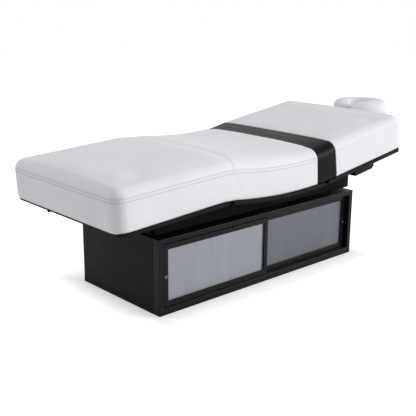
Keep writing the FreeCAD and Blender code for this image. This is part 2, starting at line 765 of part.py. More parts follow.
def section_ears(pivot, way):
    """Pair of ears under a moving board that turn on the hinge pins."""
    y = LUG_Y + LUG_PLATE + EAR_GAP
    under = pivot.z - PLATFORM
    deep = under - EAR_DEPTH
    points = [(pivot.x - way * ARM_HALF, pivot.z), (pivot.x - way * ARM_HALF, deep),
              (pivot.x + way * EAR_REACH, deep), (pivot.x + way * EAR_REACH, under),
              (pivot.x + way * (PLATFORM_GAP - EAR_RELIEF), under), (pivot.x + way * ARM_HALF, pivot.z)]
    return mirrored_pair(eye_plate(points, pivot, y, LUG_PLATE))


def hinge_pins(pivot):
    """Pair of headed pins through the lugs and ears of one hinge line."""
    start = LUG_Y - LUG_PLATE / 2 - PIN_OVERHANG
    length = 2 * LUG_PLATE + EAR_GAP + 2 * PIN_OVERHANG
    border, thick = PIN_HEAD
    pin = cylinder(V(pivot.x, start, pivot.z), Y_AXIS, PIN_RADIUS, length)
    for y in (start, start + length - thick):
        pin = pin.fuse(cylinder(V(pivot.x, y, pivot.z), Y_AXIS, PIN_RADIUS + border, thick))
    return mirrored_pair(pin.removeSplitter())


def section_rails(x0, x1, level):
    """Pair of square tubes under a moving board."""
    width, height = SECTION_RAIL
    top = level - PLATFORM
    rail = box(x0, x1, SECTION_RAIL_Y, SECTION_RAIL_Y + width, top - height, top)
    bore = box(x0, x1, SECTION_RAIL_Y + RAIL_WALL, SECTION_RAIL_Y + width - RAIL_WALL,
               top - height + RAIL_WALL, top - RAIL_WALL)
    return mirrored_pair(rail.cut(bore))


# Actuators
def crank_pin(pivot, lead):
    """Place of the drive pin on a crank that hangs below a hinge line."""
    angle = math.radians(lead)
    return V(pivot.x - CRANK_RADIUS * math.sin(angle), 0, pivot.z - CRANK_RADIUS * math.cos(angle))


def crank(pivot, lead, y, way):
    """Twin-plate crank with its drive pin, fixed under a moving board."""
    pin = crank_pin(pivot, lead)
    under = pivot.z - PLATFORM
    near, far = (pivot.x + way * reach for reach in CRANK_FOOT[:2])
    points = [(near, under), (far, under), (pin.x + way * CRANK_TIP, pin.z - CRANK_TIP),
              (pin.x - way * CRANK_TIP, pin.z - CRANK_TIP), (pin.x - way * CRANK_TIP, pin.z + CRANK_TIP)]
    offset = YOKE_THICKNESS / 2 + CRANK_GAP + CRANK_PLATE / 2
    plates = [plate_xz(points, y + side * offset, CRANK_PLATE) for side in (-1, 1)]
    half = offset + CRANK_PLATE / 2
    foot = box(min(near, far), max(near, far), y - half, y + half, under - CRANK_FOOT[2], under)
    rod = cylinder(V(pin.x, y - half, pin.z), Y_AXIS, DRIVE_PIN_RADIUS, 2 * half)
    return foot.fuse(plates + [rod]).removeSplitter()


def rod_level(pivot):
    return pivot.z - ROD_DROP


def actuator_rod(pivot, lead, y, way):
    """Sliding rod that ends in an upright slotted yoke around the drive pin."""
    pin = crank_pin(pivot, lead)
    level = rod_level(pivot)
    half = YOKE_SLOT_HALF + YOKE_WALL
    tall = YOKE_SLOT_HEIGHT / 2 + YOKE_WALL
    yoke = centred_box(pin.x, y, 2 * half, YOKE_THICKNESS, level - tall, level + tall)
    slot = centred_box(pin.x, y, 2 * YOKE_SLOT_HALF, 2 * YOKE_THICKNESS,
                       level - YOKE_SLOT_HEIGHT / 2, level + YOKE_SLOT_HEIGHT / 2)
    face = DRIVE_MEMBER_X + way * MEMBER_WIDTH / 2
    start = V(pin.x - way * half, y, level)
    length = abs(start.x - face) - ROD_STOP
    rod = cylinder(start, V(-way, 0, 0), ROD_RADIUS, length)
    return yoke.cut(slot).fuse(rod).removeSplitter()


def actuator_housing(pivot, y, way):
    """Drive case with its tube, fixed to the middle cross member."""
    level = rod_level(pivot)
    face = DRIVE_MEMBER_X + way * MEMBER_WIDTH / 2
    length, width, height = DRIVE_MOTOR
    case = centred_box(face + way * length / 2, y, length, width, level - height / 2, level + height / 2)
    tube = cylinder(V(face, y, level), V(way, 0, 0), HOUSING_RADIUS, HOUSING_LENGTH)
    start = V(face + way * HOUSING_PLUG, y, level)
    bore = cylinder(start, V(way, 0, 0), ROD_RADIUS + FIT_GAP, HOUSING_LENGTH)
    return case.fuse(tube).removeSplitter().cut(bore)


# Face cradle and armrest receivers
def cradle_receivers():
    x0, x1 = (HIP.x + station for station in RECEIVER_SPAN)
    level = HIP.z - RECEIVER_DROP
    outer_radius = POST_RADIUS + POST_CLEARANCE + RECEIVER_WALL
    tube = cylinder(V(x0, POST_Y, level), X_AXIS, outer_radius, x1 - x0)
    inset, half = SADDLE
    saddle = box(x0 + inset, x1 - inset, POST_Y - half, POST_Y + half, level, HIP.z - PLATFORM)
    bore = cylinder(V(x0, POST_Y, level), X_AXIS, POST_RADIUS + POST_CLEARANCE, x1 - x0)
    return on_back(mirrored_pair(tube.fuse(saddle).removeSplitter().cut(bore)))


def cradle_posts():
    x0, x1 = (HIP.x + station for station in POST_SPAN)
    level = HIP.z - RECEIVER_DROP
    return [cylinder(V(x0, side * POST_Y, level), X_AXIS, POST_RADIUS, x1 - x0) for side in (-1, 1)]


def pivot_local():
    return V(HIP.x + POST_SPAN[1], 0, HIP.z + PIVOT_RISE)


def cradle_pivot():
    """Tilt axis of the face cradle in the rest position."""
    angle = math.radians(BACK_SLOPE)
    reach = pivot_local() - HIP
    x = HIP.x + reach.x * math.cos(angle) - reach.z * math.sin(angle)
    z = HIP.z + reach.x * math.sin(angle) + reach.z * math.cos(angle)
    return V(x, 0, z)


def cradle_stand():
    """Cross bar with two round posts for the receivers and an upright at each end for the tilt pivot."""
    pivot = pivot_local()
    level = HIP.z - RECEIVER_DROP
    half = CROSS_BAR / 2
    reach = UPRIGHT_Y + UPRIGHT_PLATE / 2
    stand = centred_box(pivot.x, 0, CROSS_BAR, 2 * reach, level - half, level + half)
    for y in (-UPRIGHT_Y, UPRIGHT_Y):
        arm = centred_box(pivot.x, y, CROSS_BAR, UPRIGHT_PLATE, level, pivot.z)
        eye = cylinder(V(pivot.x, y - UPRIGHT_PLATE / 2, pivot.z), Y_AXIS, half, UPRIGHT_PLATE)
        stand = stand.fuse([arm, eye])
    stand = stand.fuse(cradle_posts()).removeSplitter()
    hole = cylinder(V(pivot.x, -reach, pivot.z), Y_AXIS, PIN_RADIUS + PIN_CLEARANCE, 2 * reach)
    return on_back(stand.cut(hole))


def tilt_rod():
    """Cross rod through the uprights and the cradle's ears."""
    pivot = cradle_pivot()
    reach = UPRIGHT_Y + UPRIGHT_PLATE / 2 + ROD_OVERHANG
    return cylinder(V(pivot.x, -reach, pivot.z), Y_AXIS, PIN_RADIUS, 2 * reach)


def cradle_plate():
    """Ring board under the pillow, with a bridge and two ears on the tilt rod."""
    pivot = cradle_pivot()
    bottom = CRADLE_PLATE_BOTTOM
    top = bottom + CRADLE_PLATE
    centre = V(PILLOW_X, 0, bottom)
    half = PILLOW_HALF_WIDTH - PLATE_MARGIN
    ear_y = UPRIGHT_Y - UPRIGHT_PLATE - EAR_GAP
    reach = ear_y + UPRIGHT_PLATE / 2
    plate = cylinder(centre, Z_AXIS, PILLOW_RADIUS + half, CRADLE_PLATE)
    plate = plate.fuse(box(pivot.x - BRIDGE_LEAD, PILLOW_X - PILLOW_RADIUS, -reach, reach, bottom, top))
    for y in (-ear_y, ear_y):
        eye = cylinder(V(pivot.x, y - UPRIGHT_PLATE / 2, pivot.z), Y_AXIS, CROSS_BAR / 2, UPRIGHT_PLATE)
        arm = centred_box(pivot.x, y, CROSS_BAR, UPRIGHT_PLATE, pivot.z, top)
        plate = plate.fuse([eye, arm])
    opening = cylinder(centre, Z_AXIS, PILLOW_RADIUS - half, CRADLE_PLATE)
    hole = cylinder(V(pivot.x, -UPRIGHT_Y, pivot.z), Y_AXIS, PIN_RADIUS + PIN_CLEARANCE, 2 * UPRIGHT_Y)
    return plate.removeSplitter().cut([opening, hole])


def pillow_section():
    """Outline across the pillow's ring: flat base, upright sides, round shoulders, crowned top."""
    z0 = CRADLE_PLATE_BOTTOM + CRADLE_PLATE + PILLOW_LIFT
    half, low, high, top = PILLOW_HALF_WIDTH, PILLOW_FOOT, PILLOW_SHOULDER, PILLOW_HEIGHT - PILLOW_CROWN
    corner = 1 - math.sqrt(0.5)

    def at(across, up):
        return V(PILLOW_X - PILLOW_RADIUS + across, 0, z0 + up)

    def foot(sign):
        return (at(sign * (half - low), 0), at(sign * (half - low * corner), low * corner),
                at(sign * half, low))

    def shoulder(sign):
        return (at(sign * half, top - high), at(sign * (half - high * corner), top - high * corner),
                at(sign * (half - high), top))

    crown = (shoulder(1)[2], at(0, PILLOW_HEIGHT), shoulder(-1)[2])
    arcs = [foot(1), shoulder(1), crown, shoulder(-1)[::-1], foot(-1)[::-1]]
    curves = [Part.Arc(*points).toShape() for points in arcs]
    sides = [Part.makeLine(foot(sign)[2], shoulder(sign)[0]) for sign in (1, -1)]
    base = Part.makeLine(foot(-1)[0], foot(1)[0])
    edges = Part.__sortEdges__(curves + sides + [base])
    return Part.Face(Part.Wire(edges))


def face_pillow():
    """Ring pillow round the face opening, with a narrow gap towards the table and domed ends at the gap."""
    section = pillow_section()
    axis = V(PILLOW_X, 0, 0)
    middle_x = PILLOW_X - PILLOW_RADIUS
    tall = section.BoundBox.ZMax + OVERCUT
    half_space = box(middle_x, PILLOW_X, -OVERCUT, OVERCUT, 0, tall)
    dome = section.common(half_space).Faces[0].revolve(V(middle_x, 0, 0), Z_AXIS, 360)
    section.rotate(axis, Z_AXIS, PILLOW_OPEN_ANGLE)
    pillow = section.revolve(axis, Z_AXIS, 360 - 2 * PILLOW_OPEN_ANGLE)
    for angle in (PILLOW_OPEN_ANGLE, -PILLOW_OPEN_ANGLE):
        end = dome.copy()
        end.rotate(axis, Z_AXIS, angle)
        pillow = pillow.fuse(end)
    return pillow.removeSplitter()


def cradle_lever():
    """Clamp lever on the end of the tilt rod."""
    pivot = cradle_pivot()
    y = -(UPRIGHT_Y + UPRIGHT_PLATE / 2 + FIT_GAP)
    radius, thick = LEVER_HUB
    hub = cylinder(V(pivot.x, y - thick, pivot.z), Y_AXIS, radius, thick)
    back = y - LEVER_INSET
    tip_z = pivot.z - LEVER_LENGTH
    arm = centred_box(pivot.x, back - LEVER_THICKNESS / 2, 2 * LEVER_HALF, LEVER_THICKNESS, tip_z, pivot.z)
    tip = cylinder(V(pivot.x, back - LEVER_THICKNESS, tip_z), Y_AXIS, LEVER_HALF, LEVER_THICKNESS)
    socket = cylinder(V(pivot.x, y - LEVER_SOCKET, pivot.z), Y_AXIS, PIN_RADIUS + PIN_CLEARANCE, LEVER_SOCKET)
    return hub.fuse([arm, tip]).removeSplitter().cut(socket)


def arm_tube_place():
    """Ends along X and Z of an arm socket on the level back section."""
    x0 = HIP.x + ARM_TUBE_STATION
    top = HIP.z - ARM_TUBE_DROP
    return x0, x0 + ARM_TUBE[0], top - ARM_TUBE[2], top


def arm_receivers():
    """Rectangular sockets for a side arm, each hung under the back board on two straps."""
    x0, x1, z0, z1 = arm_tube_place()
    wall = ARM_TUBE_WALL
    width = ARM_TUBE[1]
    middle = (x0 + x1) / 2
    socket = centred_box(middle, ARM_TUBE_Y, x1 - x0, width, z0, z1)
    bore = centred_box(middle - wall, ARM_TUBE_Y, x1 - x0, width - 2 * wall, z0 + wall, z1 - wall)
    socket = socket.cut(bore)
    for x in (x0 + STRAP_INSET, x1 - STRAP_INSET - STRAP):
        strap = box(x, x + STRAP, ARM_TUBE_Y - HANGER / 2, ARM_TUBE_Y + HANGER / 2, z1, HIP.z - PLATFORM)
        socket = socket.fuse(strap)
    start = V(x1 - wall - OVERCUT, ARM_TUBE_Y, (z0 + z1) / 2)
    hole = cylinder(start, X_AXIS, KNOB_SCREW[0] + PIN_CLEARANCE, wall + 2 * OVERCUT)
    return on_back(mirrored_pair(socket.removeSplitter().cut(hole)))


def arm_knob(side):
    """Lobed clamp knob with its screw on the closed end of an arm socket."""
    x1, z0, z1 = arm_tube_place()[1:]
    middle = V(x1 + FIT_GAP, side * ARM_TUBE_Y, (z0 + z1) / 2)
    knob = cylinder(middle, X_AXIS, KNOB_RADIUS, KNOB_LENGTH)
    scoop, outside = KNOB_SCOOP
    for index in range(KNOB_LOBES):
        angle = 2 * math.pi * index / KNOB_LOBES
        reach = KNOB_RADIUS + outside
        start = middle + V(-OVERCUT, reach * math.cos(angle), reach * math.sin(angle))
        knob = knob.cut(cylinder(start, X_AXIS, scoop, KNOB_LENGTH + 2 * OVERCUT))
    radius, length = KNOB_SCREW
    reach = ARM_TUBE_WALL + length
    screw = cylinder(middle - V(reach, 0, 0), X_AXIS, radius, reach + OVERCUT)
    return on_back(knob.fuse(screw).removeSplitter())


def foot_bumpers():
    """Rubber buffers under the foot end of the leg board."""
    x = KNEE.x - leg_reach() + PLATFORM_INSET + BUMPER_INSET
    bottom = V(x, BUMPER_Y, KNEE.z - PLATFORM - BUMPER_HEIGHT)
    bumper = Part.makeCone(BUMPER_RADIUS - BUMPER_TAPER, BUMPER_RADIUS, BUMPER_HEIGHT, bottom, Z_AXIS)
    return on_leg(mirrored_pair(bumper))


def leg_pieces():
    x0 = KNEE.x - leg_reach() + PLATFORM_INSET + FOOT_RAIL_INSET
    x1 = KNEE.x - HINGE_RAIL_GAP
    return {
        "leg_platform": leg_platform(),
        "leg_cushion": leg_cushion(),
        "leg_frame_rails": on_leg(section_rails(x0, x1, KNEE.z)),
        "knee_ears": on_leg(section_ears(KNEE, -1)),
        "leg_crank": on_leg(crank(KNEE, -LEG_CRANK_LEAD + LEG_SLOPE, -CRANK_Y, -1)),
        "foot_bumpers": foot_bumpers(),
    }


def back_pieces():
    x0 = HIP.x + HINGE_RAIL_GAP
    x1 = HIP.x + back_reach() - PLATFORM_INSET - HEAD_RAIL_INSET
    return {
        "back_platform": back_platform(),
        "back_cushion": back_cushion(),
        "back_frame_rails": on_back(section_rails(x0, x1, HIP.z)),
        "hip_ears": on_back(section_ears(HIP, 1)),
        "back_crank": on_back(crank(HIP, BACK_CRANK_LEAD + BACK_SLOPE, CRANK_Y, 1)),
        "cradle_receivers": cradle_receivers(),
        "arm_receivers": arm_receivers(),
    }


def cabinet_pieces():
    return {
        "floor_panel": floor_panel(),
        "end_panels": both_ends(end_panel),
        "back_panel": back_panel(),
        "deck_panel": deck_panel(),
        "front_top_rail": top_rail(),
        "front_bottom_rail": bottom_rail(),
        "front_stiles": both_ends(stile),
        "door_tracks": Part.makeCompound([upper_track(), lower_track()]),
        "power_inlet": power_inlet(),
        "back_panel_screws": back_panel_screws(),
        "control_box": control_box(),
        "column_outer_tubes": both_ends(column_outer),
        "column_motors": both_ends(column_motor),
    }


def door_pieces():
    pieces = {}
    for name, side, track in (("foot_door", -1, 0), ("head_door", 1, 1)):
        pieces[name + "_frame"] = door_frame(side, track)
        pieces[name + "_insert"] = door_insert(side, track)
        pieces[name + "_pull"] = door_pull(side, track)
        pieces[name + "_glides"] = door_glides(side, track)
    return pieces


def upper_pieces():
    front = side_apron()
    return {
        "front_apron": front,
        "rear_apron": front.mirror(V(0, 0, 0), Y_AXIS),
        "end_aprons": both_ends(end_apron),
        "lift_side_rails": lift_side_rails(),
        "lift_cross_members": lift_cross_members(),
        "apron_spacers": apron_spacers(),
        "seat_platform": seat_platform(),
        "seat_bearers": seat_bearers(),
        "seat_cushion": seat_cushion(),
        "hinge_lugs": Part.makeCompound([frame_lugs(KNEE, KNEE_MEMBER_X), frame_lugs(HIP, HIP_MEMBER_X)]),
        "hinge_pins": Part.makeCompound([hinge_pins(KNEE), hinge_pins(HIP)]),
        "knee_fold": knee_fold(),
        "lumbar_band": lumbar_band(),
        "back_actuator": actuator_housing(HIP, CRANK_Y, 1),
        "leg_actuator": actuator_housing(KNEE, -CRANK_Y, -1),
        "column_inner_tubes": both_ends(column_inner),
    }


def moving_pieces():
    return {
        "back_actuator_rod": actuator_rod(HIP, BACK_CRANK_LEAD, CRANK_Y, 1),
        "leg_actuator_rod": actuator_rod(KNEE, -LEG_CRANK_LEAD, -CRANK_Y, -1),
        "column_middle_tubes": both_ends(column_middle),
        "cradle_stand": cradle_stand(),
        "tilt_rod": tilt_rod(),
        "cradle_plate": cradle_plate(),
        "face_pillow": face_pillow(),
        "cradle_lever": cradle_lever(),
        "front_arm_knob": arm_knob(-1),
        "rear_arm_knob": arm_knob(1),
    }


os.makedirs("parts", exist_ok=True)
for group in (cabinet_pieces(), door_pieces(), upper_pieces(), leg_pieces(), back_pieces(), moving_pieces()):
    for node, shape in group.items():
        shape.exportStep("parts/" + node + ".step")
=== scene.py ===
"""Looks of the spa treatment table: upholstery, finishes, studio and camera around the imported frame."""

import json
import logging
import math
from dataclasses import dataclass, field
from enum import Enum
from functools import cache
from typing import Any, Callable

import bmesh
import bpy
import numpy as np
from mathutils import Matrix, Vector
from mathutils.bvhtree import BVHTree

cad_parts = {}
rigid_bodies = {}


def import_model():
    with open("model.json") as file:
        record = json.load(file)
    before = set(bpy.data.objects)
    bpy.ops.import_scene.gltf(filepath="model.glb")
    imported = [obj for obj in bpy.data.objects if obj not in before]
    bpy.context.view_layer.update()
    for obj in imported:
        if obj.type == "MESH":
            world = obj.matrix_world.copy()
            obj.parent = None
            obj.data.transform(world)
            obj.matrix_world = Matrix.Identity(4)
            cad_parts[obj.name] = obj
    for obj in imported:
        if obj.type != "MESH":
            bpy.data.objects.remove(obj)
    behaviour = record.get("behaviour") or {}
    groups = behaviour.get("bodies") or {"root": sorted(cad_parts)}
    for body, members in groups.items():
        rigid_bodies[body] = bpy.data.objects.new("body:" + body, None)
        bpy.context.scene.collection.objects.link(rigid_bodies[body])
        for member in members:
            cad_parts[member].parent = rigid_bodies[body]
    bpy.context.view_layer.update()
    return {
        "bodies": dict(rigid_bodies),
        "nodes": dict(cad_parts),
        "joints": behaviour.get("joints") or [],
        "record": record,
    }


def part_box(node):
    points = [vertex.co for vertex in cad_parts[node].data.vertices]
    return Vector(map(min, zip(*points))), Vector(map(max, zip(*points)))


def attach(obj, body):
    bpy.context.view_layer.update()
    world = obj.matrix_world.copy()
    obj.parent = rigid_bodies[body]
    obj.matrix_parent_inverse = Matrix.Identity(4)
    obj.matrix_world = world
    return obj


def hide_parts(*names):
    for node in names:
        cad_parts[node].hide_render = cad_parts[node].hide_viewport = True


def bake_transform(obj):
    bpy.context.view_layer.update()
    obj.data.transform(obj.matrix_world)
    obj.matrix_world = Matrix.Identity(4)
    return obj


LOG = logging.getLogger("spa_table")
Triple = tuple[float, float, float]
Socket = bpy.types.NodeSocket
Tree = bpy.types.NodeTree
Piece = bpy.types.Object
Mesh = bpy.types.Mesh
Shape = bmesh.types.BMesh
Rows = np.ndarray
USUAL_SPAN = (0.3, 0.7)
MATH, VECTOR_MATH = "ShaderNodeMath", "ShaderNodeVectorMath"
VALUE_A, VALUE_B, VALUE_OUT = 2, 3, 0
COLOUR_A, COLOUR_B, COLOUR_OUT = 6, 7, 2


class Texture(Enum):
    """Kinds of surface detail that a finish can have."""

    VINYL = "vinyl"
    POWDER = "powder"
    LAMINATE = "laminate"
    LINEN = "linen"
    BRUSHED = "brushed"
    MOULDED = "moulded"
    PLYWOOD = "plywood"


@dataclass(frozen=True)
class Grain:
    """One noise: how fine it is per metre, its finer layers and its stretch along X, Y and Z."""

    scale: float
    detail: float
    stretch: Triple = (1.0, 1.0, 1.0)


@dataclass(frozen=True)
class Recipe:
    """A texture of three noises: tone over a span, relief with a height in metres, and gloss."""

    tone: Grain
    span: tuple[float, float]
    relief: Grain
    height: float
    strength: float
    gloss: Grain


# Share of the vinyl colour left in the sewn valleys: painted shade.
SEAM_PAINTED_SHADE = 0.72
LEVEL_SHARE = 0.3
DRIFT_SHARE = 0.35
SPECKLE = Grain(900.0, 2.0)
SCRATCH = Grain(500.0, 4.0, (1.0, 1.0, 0.02))
SPARK = Grain(1100.0, 3.0)
WOOD = Grain(18.0, 6.0, (0.35, 7.0, 7.0))
RECIPES: dict[Texture, Recipe] = {
    Texture.POWDER: Recipe(SPECKLE, (0.4, 0.62), SPECKLE, 0.00006, 0.35, Grain(40.0, 4.0)),
    Texture.LAMINATE: Recipe(
        Grain(30.0, 5.0, (6.0, 6.0, 0.6)), (0.35, 0.65), Grain(700.0, 2.0), 0.00004, 0.3, Grain(12.0, 4.0),
    ),
    Texture.BRUSHED: Recipe(SCRATCH, USUAL_SPAN, SCRATCH, 0.00004, 0.3, SCRATCH),
    Texture.MOULDED: Recipe(Grain(25.0, 3.0), (0.35, 0.65), SPARK, 0.00008, 0.35, SPARK),
    Texture.PLYWOOD: Recipe(WOOD, USUAL_SPAN, WOOD, 0.0003, 0.25, WOOD),
}


def combine(tree: Tree, kind: str, operation: str, *sources: Socket | float | list[float]) -> Socket:
    """Adds a node that reckons with sockets or plain values.

    Args:
        tree: Any node tree.
        kind: Plain or vector maths.
        operation: What the node does.
        *sources: What goes into its inputs, in order.

    Returns:
        Its result.
    """
    node = tree.nodes.new(kind)
    node.operation = operation
    for into, source in zip(node.inputs, sources):
        if isinstance(source, Socket):
            tree.links.new(source, into)
        else:
            into.default_value = source
    return node.outputs[0]


def looking_rays(tree: Tree) -> Socket:
    """Finds rays that see a background straight, by reflection or through a clear piece.

    Args:
        tree: Any node tree.

    Returns:
        Socket that is 1 for those rays and 0 for the others.
    """
    rays = tree.nodes.new("ShaderNodeLightPath").outputs
    opaque = combine(tree, MATH, "MAXIMUM", rays["Is Camera Ray"], rays["Is Glossy Ray"])
    return combine(tree, MATH, "MAXIMUM", opaque, rays["Is Transmission Ray"])


class Graph:
    """Small helper around one material's node tree."""

    def __init__(self, name: str) -> None:
        """Starts a material with an empty tree and a principled surface.

        Args:
            name: Name of the material.
        """
        self.material = bpy.data.materials.new(name)
        self.material.use_nodes = True
        self.tree = self.material.node_tree
        self.tree.nodes.clear()
        self.surface = self.add("ShaderNodeBsdfPrincipled")
        self.link(self.surface.outputs["BSDF"], self.add("ShaderNodeOutputMaterial"), "Surface")

    def add(self, kind: str, **settings: Any) -> bpy.types.Node:
        """Adds a node; settings that name an input socket set its value, the others set properties.

        Args:
            kind: Blender's node type.
            **settings: Property or socket values, with spaces in socket names written as underscores.

        Returns:
            The new node.
        """
        node = self.tree.nodes.new(kind)
        for key, value in settings.items():
            if hasattr(node, key):
                setattr(node, key, value)
            else:
                node.inputs[key.replace("_", " ")].default_value = value
        return node

    def link(self, source: Socket, target: bpy.types.Node, into: str | int) -> None:
        """Joins an output socket to an input of a node, in place of an earlier link."""
        self.tree.links.new(source, target.inputs[into])

    def coordinates(self, scale: Triple = (1.0, 1.0, 1.0)) -> Socket:
        """Object coordinates stretched by a scale.

        Args:
            scale: Stretch along X, Y and Z.

        Returns:
            The stretched place.
        """
        mapping = self.add("ShaderNodeMapping", Scale=scale)
        self.link(self.add("ShaderNodeTexCoord").outputs["Object"], mapping, "Vector")
        return mapping.outputs["Vector"]

    def noise(self, grain: Grain) -> Socket:
        """Noise texture on object coordinates.

        Args:
            grain: What the noise is like.

        Returns:
            The noise's value.
        """
        node = self.add("ShaderNodeTexNoise", Scale=grain.scale, Detail=grain.detail)
        self.link(self.coordinates(grain.stretch), node, "Vector")
        return node.outputs["Fac"]

    def ramp(self, source: Socket, low: Triple, high: Triple, span: tuple[float, float]) -> Socket:
        """Colours the surface between two colours over a span of a value.

        Args:
            source: The value.
            low: Colour at the start of the span.
            high: Colour at the end of the span.
            span: Start and end positions.

        Returns:
            The colour.
        """
        node = self.add("ShaderNodeValToRGB")
        for element, position, colour in zip(node.color_ramp.elements, span, (low, high)):
            element.position = position
            element.color = (*colour, 1.0)
        self.link(source, node, "Fac")
        self.link(node.outputs["Color"], self.surface, "Base Color")
        return node.outputs["Color"]

    def bump(self, source: Socket, distance: float, strength: float, after: Socket | None = None) -> Socket:
        """Adds a bump layer, on top of an earlier one where it is given.

        Args:
            source: The height.
            distance: Height of the relief in metres.
            strength: Share of the relief that shows.
            after: Normal of the layer below this one.

        Returns:
            The new normal.
        """
        node = self.add("ShaderNodeBump", Distance=distance, Strength=strength)
        self.link(source, node, "Height")
        if after is not None:
            self.link(after, node, "Normal")
        self.link(node.outputs["Normal"], self.surface, "Normal")
        return node.outputs["Normal"]

    def roughness(self, source: Socket, low: float, high: float) -> None:
        """Drives roughness between two values from a texture.

        Args:
            source: The pattern's value.
            low: Roughness where the pattern is low.
            high: Roughness where the pattern is high.
        """
        start, stop = USUAL_SPAN
        node = self.add("ShaderNodeMapRange", From_Min=start, From_Max=stop, To_Min=low, To_Max=high)
        self.link(source, node, "Value")
        self.link(node.outputs["Result"], self.surface, "Roughness")


@dataclass(frozen=True)
class Finish:
    """One surface finish: linear colour and darker shade, lowest and highest roughness."""

    name: str
    texture: Texture
    colour: Triple
    shade: Triple
    rough: tuple[float, float]
    metallic: float = 0.0
    specular: float = 0.5

    @cache
    def material(self) -> bpy.types.Material:
        """Builds the material on first use.

        Returns:
            The finished material.
        """
        graph = Graph(self.name)
        graph.surface.inputs["Metallic"].default_value = self.metallic
        graph.surface.inputs["Specular IOR Level"].default_value = self.specular
        if self.texture is Texture.VINYL:
            self._vinyl(graph)
        elif self.texture is Texture.LINEN:
            self._linen(graph)
        else:
            self._plain(graph, RECIPES[self.texture])
        return graph.material

    def _plain(self, graph: Graph, recipe: Recipe) -> None:
        """Coat, laminate, metal, plastic or painted wood.

        Args:
            graph: The material's tree.
            recipe: Noises of the texture.
        """
        graph.ramp(graph.noise(recipe.tone), self.shade, self.colour, recipe.span)
        graph.bump(graph.noise(recipe.relief), recipe.height, recipe.strength)
        graph.roughness(graph.noise(recipe.gloss), *self.rough)

    def _vinyl(self, graph: Graph) -> None:
        """Upholstery vinyl: pebbled grain, soft cloudiness, and seam valleys darkened as painted shade.

        Args:
            graph: The material's tree.
        """
        base = graph.ramp(graph.noise(Grain(5.0, 3.0)), self.shade, self.colour, (0.35, 0.6))
        # The seam attribute darkens the colour in the sewn valleys: painted shade.
        seam = graph.add("ShaderNodeAttribute", attribute_name="seam")
        mix = graph.add("ShaderNodeMix", data_type="RGBA")
        graph.link(seam.outputs["Fac"], mix, "Factor")
        graph.link(base, mix, COLOUR_A)
        mix.inputs[COLOUR_B].default_value = (*(SEAM_PAINTED_SHADE * value for value in self.colour), 1.0)
        graph.link(mix.outputs[COLOUR_OUT], graph.surface, "Base Color")
        pebbles = graph.add("ShaderNodeTexVoronoi", Scale=620.0, feature="F1")
        graph.link(graph.coordinates(), pebbles, "Vector")
        pebbled = graph.bump(pebbles.outputs["Distance"], 0.00012, 0.3)
        graph.bump(graph.noise(Grain(1500.0, 2.0)), 0.00005, 0.25, pebbled)
        graph.roughness(graph.noise(Grain(260.0, 3.0)), *self.rough)

    def _linen(self, graph: Graph) -> None:
        """Door insert: fine upright thread streaks crossed by fainter level ones.

        Args:
            graph: The material's tree.
        """
        upright = graph.noise(Grain(420.0, 4.0, (1.0, 1.0, 0.012)))
        level = graph.noise(Grain(420.0, 3.0, (0.012, 1.0, 1.0)))
        slow = graph.noise(Grain(9.0, 3.0, (1.0, 1.0, 0.15)))
        mix = graph.add("ShaderNodeMix", data_type="FLOAT", Factor=LEVEL_SHARE)
        graph.link(upright, mix, VALUE_A)
        graph.link(level, mix, VALUE_B)
        woven = mix.outputs[VALUE_OUT]
        drifting = combine(graph.tree, MATH, "MULTIPLY_ADD", slow, DRIFT_SHARE, woven)
        graph.ramp(drifting, self.shade, self.colour, (0.5, 0.85))
        graph.bump(woven, 0.00015, 0.5)
        graph.roughness(upright, *self.rough)


def grey(value: float, cool: float = 1.0) -> Triple:
    """A linear neutral colour, whose blue may be raised by a factor."""
    return value, value, value * cool


